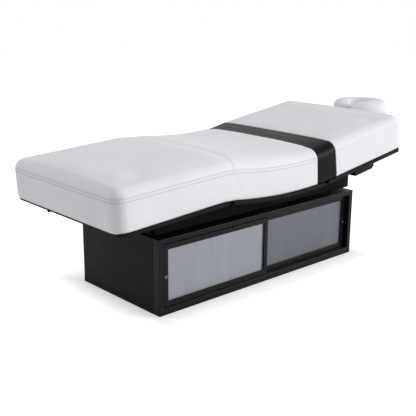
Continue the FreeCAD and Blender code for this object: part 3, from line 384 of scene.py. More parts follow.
DULL = 0.06
WHITE_VINYL = Finish(
    "white_vinyl", Texture.VINYL, (0.83, 0.822, 0.866), (0.806, 0.798, 0.842), (0.44, 0.56), specular=0.14,
)
CHARCOAL_VINYL = Finish(
    "charcoal_vinyl", Texture.VINYL, (0.0085, 0.008, 0.0097), (0.006, 0.0057, 0.007), (0.28, 0.38),
    specular=0.04,
)
# Darker black for the aprons: painted shade under the mattress.
APRON_PAINTED_SHADE = Finish(
    "apron_painted_shade", Texture.POWDER, grey(0.0035), grey(0.0025), (0.5, 0.62), specular=0.03,
)
THREAD = Finish(
    "thread", Texture.MOULDED, (0.66, 0.65, 0.69), (0.56, 0.55, 0.59), (0.5, 0.65), specular=0.3,
)
# Darker copy of the grey insert for the head door: painted shade.
HEAD_INSERT_PAINTED_SHADE = Finish(
    "head_insert_painted_shade", Texture.LINEN, (0.15, 0.159, 0.181), (0.124, 0.132, 0.152), (0.36, 0.5),
    metallic=0.2, specular=0.2,
)
SLOT_FINISHES: dict[str, Finish] = {
    finish.name: finish
    for finish in (
        WHITE_VINYL,
        CHARCOAL_VINYL,
        Finish("black_panel", Texture.LAMINATE, grey(0.005), grey(0.0038), (0.4, 0.5), specular=DULL),
        Finish(
            "dark_frame", Texture.POWDER, grey(0.0065, 1.03), grey(0.005, 1.03), (0.3, 0.42), specular=0.1,
        ),
        Finish("track", Texture.BRUSHED, grey(0.05), grey(0.03), (0.4, 0.55), 0.6, DULL),
        Finish(
            "grey_insert", Texture.LINEN, (0.315, 0.332, 0.368), (0.257, 0.272, 0.303), (0.36, 0.5),
            metallic=0.2, specular=0.2,
        ),
        Finish("steel_pull", Texture.BRUSHED, grey(0.32), grey(0.2), (0.28, 0.42), 1.0),
        Finish("nylon", Texture.MOULDED, grey(0.02), grey(0.014), (0.45, 0.6), specular=DULL),
        Finish("plastic", Texture.MOULDED, grey(0.012), grey(0.008), (0.42, 0.58), specular=DULL),
        Finish("fastener", Texture.BRUSHED, grey(0.5), grey(0.36), (0.3, 0.45), 1.0),
        Finish("column", Texture.BRUSHED, grey(0.3, 1.03), grey(0.24, 1.03), (0.34, 0.48), 0.9),
        Finish("black_steel", Texture.POWDER, grey(0.010), grey(0.007), (0.4, 0.55), specular=DULL),
        Finish("rod", Texture.BRUSHED, grey(0.6), grey(0.48), (0.18, 0.3), 1.0),
        Finish("board", Texture.PLYWOOD, grey(0.009), grey(0.006), (0.45, 0.62), specular=DULL),
        Finish("rubber", Texture.MOULDED, grey(0.012), grey(0.008), (0.6, 0.78), specular=DULL),
    )
}


def dress(piece: Piece, slot: str) -> None:
    """Gives a made piece the finish of a slot.

    Args:
        piece: The made object.
        slot: Slot name in the record.
    """
    piece.data.materials.clear()
    piece.data.materials.append(SLOT_FINISHES[slot].material())


def dress_nodes(frame: dict[str, Any]) -> None:
    """Gives every node of the frame the finish of its slot, and the head door's insert a darker copy as
    painted shade.
    """
    for entry in frame["record"]["subparts"]:
        mesh = frame["nodes"][entry["node"]].data
        mesh.materials.clear()
        mesh.materials.append(SLOT_FINISHES[entry["material_slot"]].material())
        LOG.info("dressed %s as %s", entry["node"], entry["material_slot"])
    # The head door's insert takes a darker copy of the grey insert: painted shade.
    frame["nodes"]["head_door_insert"].data.materials[0] = HEAD_INSERT_PAINTED_SHADE.material()


def mesh_object(name: str, shape: Shape, smooth: bool = True) -> Piece:
    """Turns a bmesh into a linked object at the origin.

    Args:
        name: Name of the piece.
        shape: The bmesh, which is freed.
        smooth: Whether its faces shade smoothly.

    Returns:
        The new object.
    """
    mesh = bpy.data.meshes.new(name)
    shape.to_mesh(mesh)
    shape.free()
    for face in mesh.polygons:
        face.use_smooth = smooth
    piece = bpy.data.objects.new(name, mesh)
    bpy.context.scene.collection.objects.link(piece)
    return piece


def rows_of(items: bpy.types.bpy_prop_collection, key: str) -> Rows:
    """Reads one vector of each item.

    Args:
        items: Vertices or normals of a mesh.
        key: Name of the vector.

    Returns:
        Array of shape (count, 3).
    """
    flat = np.zeros(len(items) * 3, np.float32)
    items.foreach_get(key, flat)
    return flat.reshape(-1, 3).astype(float)


def points_of(mesh: Mesh) -> Rows:
    """Vertex places of a mesh as rows."""
    return rows_of(mesh.vertices, "co")


def normals_of(mesh: Mesh) -> Rows:
    """Vertex normals of a mesh as rows."""
    return rows_of(mesh.vertex_normals, "vector")


def set_points(mesh: Mesh, points: Rows) -> None:
    """Writes vertex places back into a mesh."""
    mesh.vertices.foreach_set("co", points.astype(np.float32).ravel())
    mesh.update()


def store_seam_shade(mesh: Mesh, depth: Rows) -> None:
    """Stores the depth share of the sewn valleys, which the vinyl darkens as painted shade."""
    layer = mesh.attributes.new("seam", "FLOAT", "POINT")
    layer.data.foreach_set("value", depth.astype(np.float32))


def everything(shape: Shape) -> list[Any]:
    """All points, edges and faces of a shape."""
    return shape.verts[:] + shape.edges[:] + shape.faces[:]


def bake_modifiers(piece: Piece) -> None:
    """Replaces a piece's mesh with what its modifiers make of it, and removes them.

    Args:
        piece: The object to bake.
    """
    depsgraph = bpy.context.evaluated_depsgraph_get()
    made = bpy.data.meshes.new_from_object(piece.evaluated_get(depsgraph))
    piece.modifiers.clear()
    piece.data = made


def remesh(piece: Piece, voxel: float) -> None:
    """Gives a piece an even skin of small quads.

    Args:
        piece: Closed mesh object.
        voxel: Size of the quads in metres.
    """
    modifier = piece.modifiers.new("even_skin", "REMESH")
    modifier.mode = "VOXEL"
    modifier.voxel_size = voxel
    modifier.use_smooth_shade = True
    bake_modifiers(piece)


def evened(mesh: Mesh, values: Rows, rounds: int) -> Rows:
    """Spreads values over the mesh, so that sharp folds turn into soft fullness.

    Args:
        mesh: The mesh that the values belong to.
        values: One row for each vertex.
        rounds: Number of passes.

    Returns:
        The evened rows.
    """
    ends = np.zeros(len(mesh.edges) * 2, np.int32)
    mesh.edges.foreach_get("vertices", ends)
    first, second = ends.reshape(-1, 2).T
    count = np.bincount(first, minlength=len(values)) + np.bincount(second, minlength=len(values))
    for _ in range(rounds):
        total = np.zeros_like(values)
        np.add.at(total, first, values[second])
        np.add.at(total, second, values[first])
        values = 0.5 * values + 0.5 * total / np.maximum(count, 1)[:, None]
    return values


CLOTH_SETTINGS: dict[str, float | bool] = {
    "quality": 6, "mass": 0.3, "tension_stiffness": 20.0, "compression_stiffness": 20.0,
    "shear_stiffness": 10.0, "bending_stiffness": 2.0, "use_pressure": True,
}


@dataclass(frozen=True)
class CoverCloth:
    """Cloth of a cover, which the foam inside puffs out between its seams by a cap at most."""

    pressure: float
    cap: float
    frames: int = 20
    evening_rounds: int = 24

    def puff(self, piece: Piece, held: Rows) -> None:
        """Puffs a closed cover outwards.

        Args:
            piece: Closed mesh object.
            held: 1 for each sewn or seated vertex and 0 for the others.
        """
        rest = points_of(piece.data)
        outward = normals_of(piece.data)
        group = piece.vertex_groups.new(name="sewn")
        for level in np.unique(held):
            group.add(np.nonzero(held == level)[0].tolist(), float(level), "REPLACE")
        cloth = piece.modifiers.new("cover", "CLOTH")
        for name, value in CLOTH_SETTINGS.items():
            setattr(cloth.settings, name, value)
        cloth.settings.uniform_pressure_force = self.pressure
        cloth.settings.vertex_group_mass = group.name
        cloth.settings.effector_weights.gravity = 0.0
        cloth.point_cache.frame_end = self.frames
        for number in range(1, self.frames + 1):
            bpy.context.scene.frame_set(number)
        bake_modifiers(piece)
        piece.vertex_groups.clear()
        rise = np.sum((points_of(piece.data) - rest) * outward, axis=1, keepdims=True)
        free = np.clip(rise, 0.0, self.cap) * (1.0 - held[:, None])
        set_points(piece.data, rest + outward * evened(piece.data, free, self.evening_rounds))
        bpy.context.scene.frame_set(1)


@dataclass(frozen=True)
class EasedEdges:
    """Copies of sharp sheet and board pieces whose edges are eased, so that they catch the light; the
    aprons among them get a darker black as painted shade under the mattress.
    """

    radius: float = 0.002
    steps: int = 2
    weld: float = 1e-5
    flat_angle: float = math.radians(0.6)
    sharp_angle: float = math.radians(40.0)
    painted_shade_nodes: tuple[str, ...] = ("front_apron", "rear_apron", "end_aprons")
    nodes: tuple[str, ...] = (
        "front_top_rail", "front_bottom_rail", "front_stiles", "end_panels", "back_panel",
        "foot_door_frame", "head_door_frame", "front_apron", "rear_apron", "end_aprons",
        "leg_platform", "seat_platform", "back_platform", "cradle_plate", "arm_receivers", "control_box",
    )

    def shape(self, source: Mesh) -> Shape:
        """Welds a node's mesh, clears its flat faces and bevels its sharp edges.

        Args:
            source: Mesh of the node.

        Returns:
            The eased copy.
        """
        made = bmesh.new()
        made.from_mesh(source)
        bmesh.ops.remove_doubles(made, verts=made.verts[:], dist=self.weld)
        bmesh.ops.dissolve_limit(
            made, angle_limit=self.flat_angle, verts=made.verts[:], edges=made.edges[:],
            use_dissolve_boundaries=False,
        )
        edges = [edge for edge in made.edges if edge.is_manifold]
        sharp = [edge for edge in edges if edge.calc_face_angle(0.0) > self.sharp_angle]
        bmesh.ops.bevel(
            made, geom=sharp, offset=self.radius, segments=self.steps, profile=0.5, affect="EDGES",
            clamp_overlap=True, material=-1,
        )
        bmesh.ops.recalc_face_normals(made, faces=made.faces[:])
        return made

    def build(self, frame: dict[str, Any]) -> None:
        """Replaces the listed nodes by eased copies that follow the same bodies.
        """
        bodies = frame["record"]["behaviour"]["bodies"]
        slots = {entry["node"]: entry["material_slot"] for entry in frame["record"]["subparts"]}
        for node in self.nodes:
            piece = mesh_object(node + "_eased", self.shape(frame["nodes"][node].data), smooth=False)
            dress(piece, slots[node])
            # The aprons take a darker black than their slot: painted shade under the mattress.
            if node in self.painted_shade_nodes:
                piece.data.materials[0] = APRON_PAINTED_SHADE.material()
            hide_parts(node)
            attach(piece, next(body for body, members in bodies.items() if node in members))
            LOG.info("eased %s", node)


SEAM_STRENGTH: dict[str, float] = {
    "rows": 0.7, "knee_top": 0.7, "knee_side": 0.35, "band_start": 1.0, "band_end": 1.0, "back_row": 0.3,
}
REFINE_REACH = (0.022, 0.012)
FAR = 1.0
TINY = 1e-5


@dataclass
class Mattress:
    """The contoured top: one sewn form, cut at the dark band into three covers.

    Stations run from the foot end towards the head; heights run up from the boards.
    """

    foot_x: float = -1.015
    length: float = 2.006
    half_width: float = 0.434
    thickness: float = 0.181
    back_thickness: float = 0.192
    crown: float = 0.018
    back_crown: float = 0.006
    hem_drop: float = 0.007
    knee: float = 0.647
    hip: float = 1.334
    seat_low: float = 1.038
    knee_z: float = 0.521
    seat_z: float = 0.490
    hip_z: float = 0.503
    leg_slope: float = math.tan(math.radians(3.0))
    back_slope: float = math.tan(math.radians(8.4))
    band_start: float = 1.257
    band_end: float = 1.411
    corner_radius: float = 0.062
    top_radius: float = 0.047
    bottom_radius: float = 0.017
    seam_height: float = 0.139
    seam_rows: float = 0.0075
    back_row: float = 0.146
    seam_depth: float = 0.0016
    row_width: float = 0.0028
    line_width: float = 0.0032
    row_sewn: float = 0.006
    line_sewn: float = 0.007
    seam_foot: float = 0.012
    seated: float = 0.02
    wall: float = 0.03
    knee_seam: float = 0.675
    knee_seam_bow: float = 0.027
    knee_seam_slant: float = 0.1
    knee_ease: float = 0.18
    hip_ease: float = 0.14
    knee_fold: float = 0.1
    hip_fold: float = 0.25
    overrun: float = 0.3
    samples: int = 2000
    solve_rounds: int = 8
    crown_power: int = 4
    bow_power: int = 5
    corner_steps: int = 10
    top_steps: int = 8
    bottom_steps: int = 3
    sharp_angle: float = 1.0
    cut_margin: float = 0.05
    cut_side: float = 0.4
    cuts_along: int = 120
    cuts_across: int = 24
    voxel: float = 0.009
    cloth: CoverCloth = CoverCloth(pressure=4.0, cap=0.008)
    _stations: Rows = field(init=False)
    _slopes: Rows = field(init=False)
    _base: Rows = field(init=False)

    def __post_init__(self) -> None:
        """Works out the line of the boards under the cushions."""
        levels = (self.knee_z, self.seat_z, self.hip_z)
        hollow = np.polyfit((self.knee, self.seat_low, self.hip), levels, 2)
        self._stations = np.linspace(-self.overrun, self.length + self.overrun, self.samples)
        seat = np.polyval(np.polyder(hollow), self._stations)
        knee_share = self._ease((self._stations - self.knee) / self.knee_ease + 0.5)
        hip_share = self._ease((self._stations - self.hip) / self.hip_ease + 0.5)
        self._slopes = (1 - knee_share) * self.leg_slope + knee_share * seat
        self._slopes = (1 - hip_share) * self._slopes + hip_share * self.back_slope
        step = self._stations[1] - self._stations[0]
        line = np.cumsum(self._slopes) * step
        self._base = line - np.interp(self.seat_low, self._stations, line) + self.seat_z

    @staticmethod
    def _ease(share: Rows) -> Rows:
        """Smooth step from 0 to 1."""
        held = np.clip(share, 0.0, 1.0)
        return held * held * (3.0 - 2.0 * held)

    def place(self, flat: Rows) -> Rows:
        """Bends flat rows of station, side and height into the model.

        Args:
            flat: Rows of station, side, height.

        Returns:
            Rows of X, Y, Z.
        """
        slope = np.interp(flat[:, 0], self._stations, self._slopes)
        base = np.interp(flat[:, 0], self._stations, self._base)
        length = np.sqrt(1.0 + slope * slope)
        east = flat[:, 0] + self.foot_x - flat[:, 2] * slope / length
        return np.column_stack([east, flat[:, 1], base + flat[:, 2] / length])

    def locate(self, points: Rows) -> Rows:
        """Finds the flat station, side and height of points of the model.

        Args:
            points: Rows of X, Y, Z.

        Returns:
            Rows of station, side, height.
        """
        start = points[:, 0] - self.foot_x
        station = start.copy()
        for _ in range(self.solve_rounds):
            slope = np.interp(station, self._stations, self._slopes)
            length = np.sqrt(1.0 + slope * slope)
            height = (points[:, 2] - np.interp(station, self._stations, self._base)) * length
            station = start + height * slope / length
        return np.column_stack([station, points[:, 1], height])

    def block(self) -> Piece:
        """The plain form: a box with rounded corners and edges, crowned and bent to the boards.

        Returns:
            Closed mesh object.
        """
        shape = bmesh.new()
        size = Matrix.Diagonal((self.length, 2 * self.half_width, self.thickness, 1.0))
        middle = Matrix.Translation((self.length / 2, 0.0, self.thickness / 2))
        bmesh.ops.create_cube(shape, size=1.0, matrix=middle @ size)
        high = self.thickness - TINY
        self._round(shape, lambda a, b: abs(a.z - b.z) > TINY, self.corner_radius, self.corner_steps)
        self._round(shape, lambda a, b: min(a.z, b.z) > high, self.top_radius, self.top_steps)
        self._round(shape, lambda a, b: max(a.z, b.z) < TINY, self.bottom_radius, self.bottom_steps)
        for normal, first, last, count in (
            (Vector((1, 0, 0)), self.cut_margin, self.length - self.cut_margin, self.cuts_along),
            (Vector((0, 1, 0)), -self.cut_side, self.cut_side, self.cuts_across),
        ):
            for place in np.linspace(first, last, count):
                bmesh.ops.bisect_plane(
                    shape, geom=everything(shape), plane_co=normal * place, plane_no=normal,
                )
        piece = mesh_object("mattress", shape)
        set_points(piece.data, self.place(self._crowned(points_of(piece.data))))
        return piece

    def _round(
        self, shape: Shape, wanted: Callable[[Vector, Vector], bool], radius: float, steps: int,
    ) -> None:
        """Bevels the sharp edges whose two ends answer a question.

        Args:
            shape: The bmesh.
            wanted: Takes both end points of an edge.
            radius: Bevel width.
            steps: Number of segments.
        """
        edges = [edge for edge in shape.edges if wanted(edge.verts[0].co, edge.verts[1].co)]
        sharp = [edge for edge in edges if edge.calc_face_angle(0.0) > self.sharp_angle]
        bmesh.ops.bevel(
            shape, geom=sharp, offset=radius, segments=steps, profile=0.5, affect="EDGES", material=-1,
        )

    def _crowned(self, flat: Rows) -> Rows:
        """Raises the back section and the middle of the top, and lowers the hem of the leg panel.

        Args:
            flat: Rows of station, side, height of the plain box.

        Returns:
            The raised rows.
        """
        share = flat[:, 2] / self.thickness
        back = self._ease((flat[:, 0] - self.band_start) / (self.band_end - self.band_start))
        across = 1.0 - np.abs(flat[:, 1] / self.half_width) ** self.crown_power
        crown = self.crown + back * (self.back_crown - self.crown)
        hem = self.hem_drop * self._ease(1.0 - flat[:, 0] / self.knee)
        raised = flat.copy()
        raised[:, 2] += share * (back * (self.back_thickness - self.thickness) + crown * across)
        raised[:, 2] -= (1.0 - share) * hem
        return raised

    def seam_distance(self, flat: Rows) -> dict[str, Rows]:
        """Distances from points to each sewn line, in metres; far points get a large value.

        Args:
            flat: Rows of station, side, height.

        Returns:
            Signed distance by seam name.
        """
        station, side, height = flat.T
        ends = np.abs(station - self.length / 2) > self.length / 2 - self.wall
        wall = (np.abs(side) > self.half_width - self.wall) | ends
        rows = np.where(wall & (station < self.band_start), height - self.seam_height, FAR)
        share = np.clip(np.abs(side) / self.half_width, 0.0, 1.0)
        drop = np.clip((self.seam_height - height) / self.seam_height, 0.0, 1.0)
        bow = self.knee_seam_bow * share**self.bow_power
        knee_line = self.knee_seam - bow + self.knee_seam_slant * drop
        upper = height > self.seam_foot
        knee = np.where(upper, station - knee_line, FAR)
        return {
            "rows": rows,
            "knee_top": np.where(drop > 0.0, FAR, knee),
            "knee_side": np.where(drop > 0.0, knee, FAR),
            "band_start": np.where(upper, station - self.band_start, FAR),
            "band_end": np.where(upper, station - self.band_end, FAR),
            "back_row": np.where(wall & (station > self.band_end), height - self.back_row, FAR),
        }

    def held(self, flat: Rows) -> Rows:
        """Weights that hold the sewn lines and the seated underside while the cover is puffed.

        Args:
            flat: Rows of station, side, height.

        Returns:
            Weight for each point.
        """
        weight = np.where(flat[:, 2] < self.seated, 1.0, 0.0)
        for name, distance in self.seam_distance(flat).items():
            reach = self.seam_rows + self.row_sewn if name == "rows" else self.line_sewn
            weight = np.maximum(weight, np.where(np.abs(distance) < reach, 1.0, 0.0))
        return weight

    def groove(self, flat: Rows) -> Rows:
        """Depth share of the sewn valleys at each point.

        Args:
            flat: Rows of station, side, height.

        Returns:
            Share from 0 on the panels to 1 on a seam.
        """
        lines = self.seam_distance(flat)
        rows = np.abs(np.abs(lines.pop("rows")) - self.seam_rows)
        depth = SEAM_STRENGTH["rows"] * np.exp(-((rows / self.row_width) ** 2))
        for name, distance in lines.items():
            depth = np.maximum(depth, SEAM_STRENGTH[name] * np.exp(-((distance / self.line_width) ** 2)))
        return depth

    def sew(self, piece: Piece) -> None:
        """Refines the skin along the seams and draws the seams in.

        Args:
            piece: The puffed mattress.
        """
        for reach in REFINE_REACH:
            shape = bmesh.new()
            shape.from_mesh(piece.data)
            shape.verts.ensure_lookup_table()
            flat = self.locate(np.array([vert.co[:] for vert in shape.verts]))
            near = np.full(len(flat), FAR)
            for name, distance in self.seam_distance(flat).items():
                extra = self.seam_rows if name == "rows" else 0.0
                near = np.minimum(near, np.abs(distance) - extra)
            edges = [edge for edge in shape.edges if min(near[vert.index] for vert in edge.verts) < reach]
            bmesh.ops.subdivide_edges(shape, edges=edges, cuts=1, use_grid_fill=True, smooth=0.4)
            shape.to_mesh(piece.data)
            shape.free()
        points = points_of(piece.data)
        depth = self.groove(self.locate(points))
        set_points(piece.data, points - self.seam_depth * depth[:, None] * normals_of(piece.data))
        for face in piece.data.polygons:
            face.use_smooth = True

    def cut(self, whole: Piece, name: str, first: float, last: float) -> Piece:
        """Cuts one cover out of the whole form between two stations.

        Args:
            whole: The sewn mattress.
            name: Name of the cover.
            first: Station of its foot side.
            last: Station of its head side.

        Returns:
            The cover, closed at the cuts.
        """
        shape = bmesh.new()
        shape.from_mesh(whole.data)
        for station, facing in ((first, -1.0), (last, 1.0)):
            low, high = self.place(np.array([[station, 0.0, 0.0], [station, 0.0, self.thickness]]))
            along = Vector(high - low)
            normal = Vector((along.z, 0.0, -along.x)).normalized() * facing
            bmesh.ops.bisect_plane(
                shape, geom=everything(shape), plane_co=Vector(low), plane_no=normal, clear_outer=True,
            )
            open_edges = [edge for edge in shape.edges if edge.is_boundary]
            if open_edges:
                bmesh.ops.holes_fill(shape, edges=open_edges, sides=0)
        bmesh.ops.recalc_face_normals(shape, faces=shape.faces[:])
        piece = mesh_object(name, shape)
        store_seam_shade(piece.data, self.groove(self.locate(points_of(piece.data))))
        return piece

    def build(self) -> None:
        """Makes the three covers with their stitches and dresses them."""
        whole = self.block()
        remesh(whole, self.voxel)
        self.cloth.puff(whole, self.held(self.locate(points_of(whole.data))))
        self.sew(whole)
        leg_seat = self.cut(whole, "leg_and_seat_cover", -self.overrun, self.band_start)
        band = self.cut(whole, "lumbar_band_cover", self.band_start, self.band_end)
        back = self.cut(whole, "back_cover", self.band_end, self.length + self.overrun)
        bpy.data.objects.remove(whole)
        plan = (
            (leg_seat, "white_vinyl", ("leg_cushion", "knee_fold", "seat_cushion")),
            (band, "charcoal_vinyl", ("lumbar_band",)),
            (back, "white_vinyl", ("back_cushion",)),
        )
        for piece, slot, nodes in plan:
            dress(piece, slot)
            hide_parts(*nodes)
            LOG.info("sewed %s", piece.name)
        threads = SeamThreads().build(self, leg_seat)
        for piece in (leg_seat, threads):
            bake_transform(piece)
        for piece in (band, back):
            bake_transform(piece)


@dataclass(frozen=True)
class SeamThreads:
    """Stitches along the two sewn rows around the leg and seat panels."""

    pitch: float = 0.0065
    stitch_length: float = 0.0048
    thread_radius: float = 0.0005
    band_margin: float = 0.012
    search_reach: float = 0.03

    def path(self, mattress: Mattress) -> Rows:
        """Plan of the walls, from the dark band round the foot end and back.

        Args:
            mattress: The sewn form's sizes.

        Returns:
            Rows of station, side and the outward direction's two shares.
        """
        radius = mattress.corner_radius
        inner = mattress.half_width - radius
        along = np.arange(mattress.band_start - self.band_margin, radius, -self.pitch)
        turn = np.arange(0.0, math.pi / 2, self.pitch / radius)
        across = np.arange(-inner, 0.0, self.pitch)
        wall = np.full_like(along, -mattress.half_width)
        side = np.column_stack([along, wall, 0 * along, 0 * along - 1.0])
        round_x, round_y = np.sin(turn), np.cos(turn)
        corner = np.column_stack([radius - radius * round_x, -inner - radius * round_y, -round_x, -round_y])
        end = np.column_stack([0 * across, across, 0 * across - 1.0, 0 * across])
        half = np.concatenate([side, corner, end])
        return np.concatenate([half, half[::-1] * (1.0, -1.0, 1.0, -1.0)])

    def row(self, mattress: Mattress, skin: BVHTree, height: float) -> list[tuple[Vector, Vector]]:
        """Finds the skin along one sewn row.

        Args:
            mattress: The sewn form's sizes.
            skin: Search tree of the cover.
            height: Height of the row above the boards.

        Returns:
            Place and normal at each stitch.
        """
        plan = self.path(mattress)
        start = plan[:, :2] + self.search_reach * plan[:, 2:]
        starts = mattress.place(np.column_stack([start, np.full(len(plan), height)]))
        found = []
        for spot, (east, north) in zip(starts, plan[:, 2:]):
            inward = Vector((-east, -north, 0.0))
            hit, normal, _, _ = skin.ray_cast(Vector(spot), inward, 2.0 * self.search_reach)
            if hit is not None:
                found.append((hit, normal))
        return found

    def lie(self, spot: Vector, normal: Vector, after: Vector) -> Matrix:
        """Placement of one stitch that points to the next and lies half in the skin.

        Args:
            spot: Where the stitch lies.
            normal: Outward direction of the skin.
            after: Where the next stitch lies.

        Returns:
            Matrix that turns a unit ball into the stitch.
        """
        along = (after - spot).normalized()
        sideways = normal.cross(along).normalized()
        axes = Matrix((along, sideways, along.cross(sideways))).transposed().to_4x4()
        size = Matrix.Diagonal((self.stitch_length / 2, self.thread_radius, self.thread_radius, 1.0))
        return Matrix.Translation(spot + normal * self.thread_radius / 2) @ axes @ size

    @staticmethod
    def gather(places: list[Matrix]) -> Shape:
        """Copies one small ball to every stitch.

        Args:
            places: Placement of each stitch.

        Returns:
            All the stitches.
        """
        ball = bmesh.new()
        bmesh.ops.create_uvsphere(ball, u_segments=6, v_segments=4, radius=1.0)
        stitch = bpy.data.meshes.new("stitch")
        ball.to_mesh(stitch)
        ball.free()
        shape = bmesh.new()
        for place in places:
            copy = stitch.copy()
            copy.transform(place)
            shape.from_mesh(copy)
            bpy.data.meshes.remove(copy)
        bpy.data.meshes.remove(stitch)
        return shape

    def build(self, mattress: Mattress, cover: Piece) -> Piece:
        """Lays the stitches on a cover.

        Args:
            mattress: The sewn form's sizes.
            cover: The cover that they lie on.

        Returns:
            One object with all the stitches.
        """
        faces = [tuple(face.vertices) for face in cover.data.polygons]
        skin = BVHTree.FromPolygons([vert.co[:] for vert in cover.data.vertices], faces)
        places = []
        for offset in (-mattress.seam_rows, mattress.seam_rows):
            found = self.row(mattress, skin, mattress.seam_height + offset)
            pairs = zip(found, found[1:])
            places += [self.lie(spot, normal, after) for (spot, normal), (after, _) in pairs]
        threads = mesh_object("seam_threads", self.gather(places))
        threads.data.materials.append(THREAD.material())
        LOG.info("stitched %s", cover.name)
        return threads


@dataclass
class FacePillow:
    """The ring-shaped face pillow with a narrow gap towards the table."""

    middle_x: float = 1.147
    ring_radius: float = 0.112
    half_section: float = 0.052
    height: float = 0.106
    base_z: float = 0.712
    gap: float = 0.016
    rim_share: float = 0.36
    rim_width: float = 0.003
    rim_sewn: float = 0.005
    seated: float = 0.012
    across_power: float = 0.7
    up_power: float = 0.75
    dome_steps: int = 6
    dome_turn: float = math.radians(14.5)
    voxel: float = 0.005
    cloth: CoverCloth = CoverCloth(pressure=3.0, cap=0.004)

    def _section(self, shape: Shape) -> list[bmesh.types.BMVert]:
        """Outline across the ring, standing on its table side.

        Args:
            shape: The bmesh it goes into.

        Returns:
            Its vertices.
        """
        turn = Matrix.Rotation(math.radians(90.0), 4, "X")
        ring = bmesh.ops.create_circle(shape, cap_ends=False, segments=32, radius=1.0, matrix=turn)["verts"]
        for vert in ring:
            across = math.copysign(abs(vert.co.x) ** self.across_power, vert.co.x)
            up = math.copysign(abs(vert.co.z) ** self.up_power, vert.co.z)
            east = self.middle_x - self.ring_radius + across * self.half_section
            vert.co = (east, 0.0, self.base_z + self.height / 2 * (1.0 + up))
        return ring

    def block(self) -> Piece:
        """The plain ring: one outline spun round the face opening, with domed ends at the gap.

        Returns:
            Closed mesh object.
        """
        shape = bmesh.new()
        ring = self._section(shape)
        axis = Vector((self.middle_x, 0.0, 0.0))
        start = (self.half_section + self.gap / 2) / self.ring_radius
        bmesh.ops.rotate(shape, verts=ring, cent=axis, matrix=Matrix.Rotation(start, 3, "Z"))
        edges = list({edge for vert in ring for edge in vert.link_edges})
        bmesh.ops.spin(
            shape, geom=ring + edges, cent=axis, axis=(0.0, 0.0, 1.0), dvec=(0.0, 0.0, 0.0),
            angle=2.0 * (math.pi - start), steps=48, use_merge=False, use_duplicate=False,
        )
        for turn in (start, -start):
            self._dome(shape, turn)
        bmesh.ops.recalc_face_normals(shape, faces=shape.faces[:])
        return mesh_object("face_pillow_cover", shape)

    def _dome(self, shape: Shape, turn: float) -> None:
        """Rounds off one open end of the ring.

        Args:
            shape: The bmesh.
            turn: Angle of the open end from the table side.
        """
        level = self.base_z + self.height / 2
        radius = self.ring_radius
        centre = Vector((self.middle_x - radius * math.cos(turn), -radius * math.sin(turn), level))
        outward = Vector((-math.sin(turn), math.cos(turn), 0.0)) * math.copysign(1.0, turn)
        edges = [edge for edge in shape.edges if edge.is_boundary and edge.verts[0].co.y * turn < 0.0]
        reach, scale = 0.0, 1.0
        for step in range(1, self.dome_steps + 1):
            angle = self.dome_turn * step
            made = bmesh.ops.extrude_edge_only(shape, edges=edges)["geom"]
            verts = [item for item in made if isinstance(item, bmesh.types.BMVert)]
            edges = [item for item in made if isinstance(item, bmesh.types.BMEdge)]
            new_reach, new_scale = self.half_section * math.sin(angle), math.cos(angle)
            for vert in verts:
                flat = vert.co - centre - outward * reach
                vert.co = centre + flat * (new_scale / scale) + outward * new_reach
            reach, scale = new_reach, new_scale
        bmesh.ops.holes_fill(shape, edges=edges, sides=0)

    def build(self) -> None:
        """Makes the pillow, puffs it, sews its rim and lets it follow the cradle."""
        piece = self.block()
        remesh(piece, self.voxel)
        rim_z = self.base_z + self.rim_share * self.height
        height = points_of(piece.data)[:, 2]
        held = (height < self.base_z + self.seated) | (np.abs(height - rim_z) < self.rim_sewn)
        self.cloth.puff(piece, np.where(held, 1.0, 0.0))
        height = points_of(piece.data)[:, 2]
        # The rim seam's depth share darkens the vinyl there as painted shade.
        depth = np.exp(-(((height - rim_z) / self.rim_width) ** 2))
        store_seam_shade(piece.data, depth)
        dress(piece, "white_vinyl")
        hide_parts("face_pillow")
        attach(piece, "cradle_head")
        LOG.info("sewed %s", piece.name)


@dataclass(frozen=True)
class Lamp:
    """One soft square lamp aimed at a point; size in metres, power in watts, spread in degrees."""

    name: str
    spot: Triple
    target: Triple
    size: float
    power: float
    spread: float = 180.0

    def build(self) -> None:
        """Adds the lamp to the scene."""
        data = bpy.data.lights.new(self.name, "AREA")
        data.size = self.size
        data.energy = self.power
        data.spread = math.radians(self.spread)
        piece = bpy.data.objects.new(self.name, data)
        piece.location = self.spot
        aim = Vector(self.target) - Vector(self.spot)
        piece.rotation_euler = aim.to_track_quat("-Z", "Y").to_euler()
        bpy.context.scene.collection.objects.link(piece)


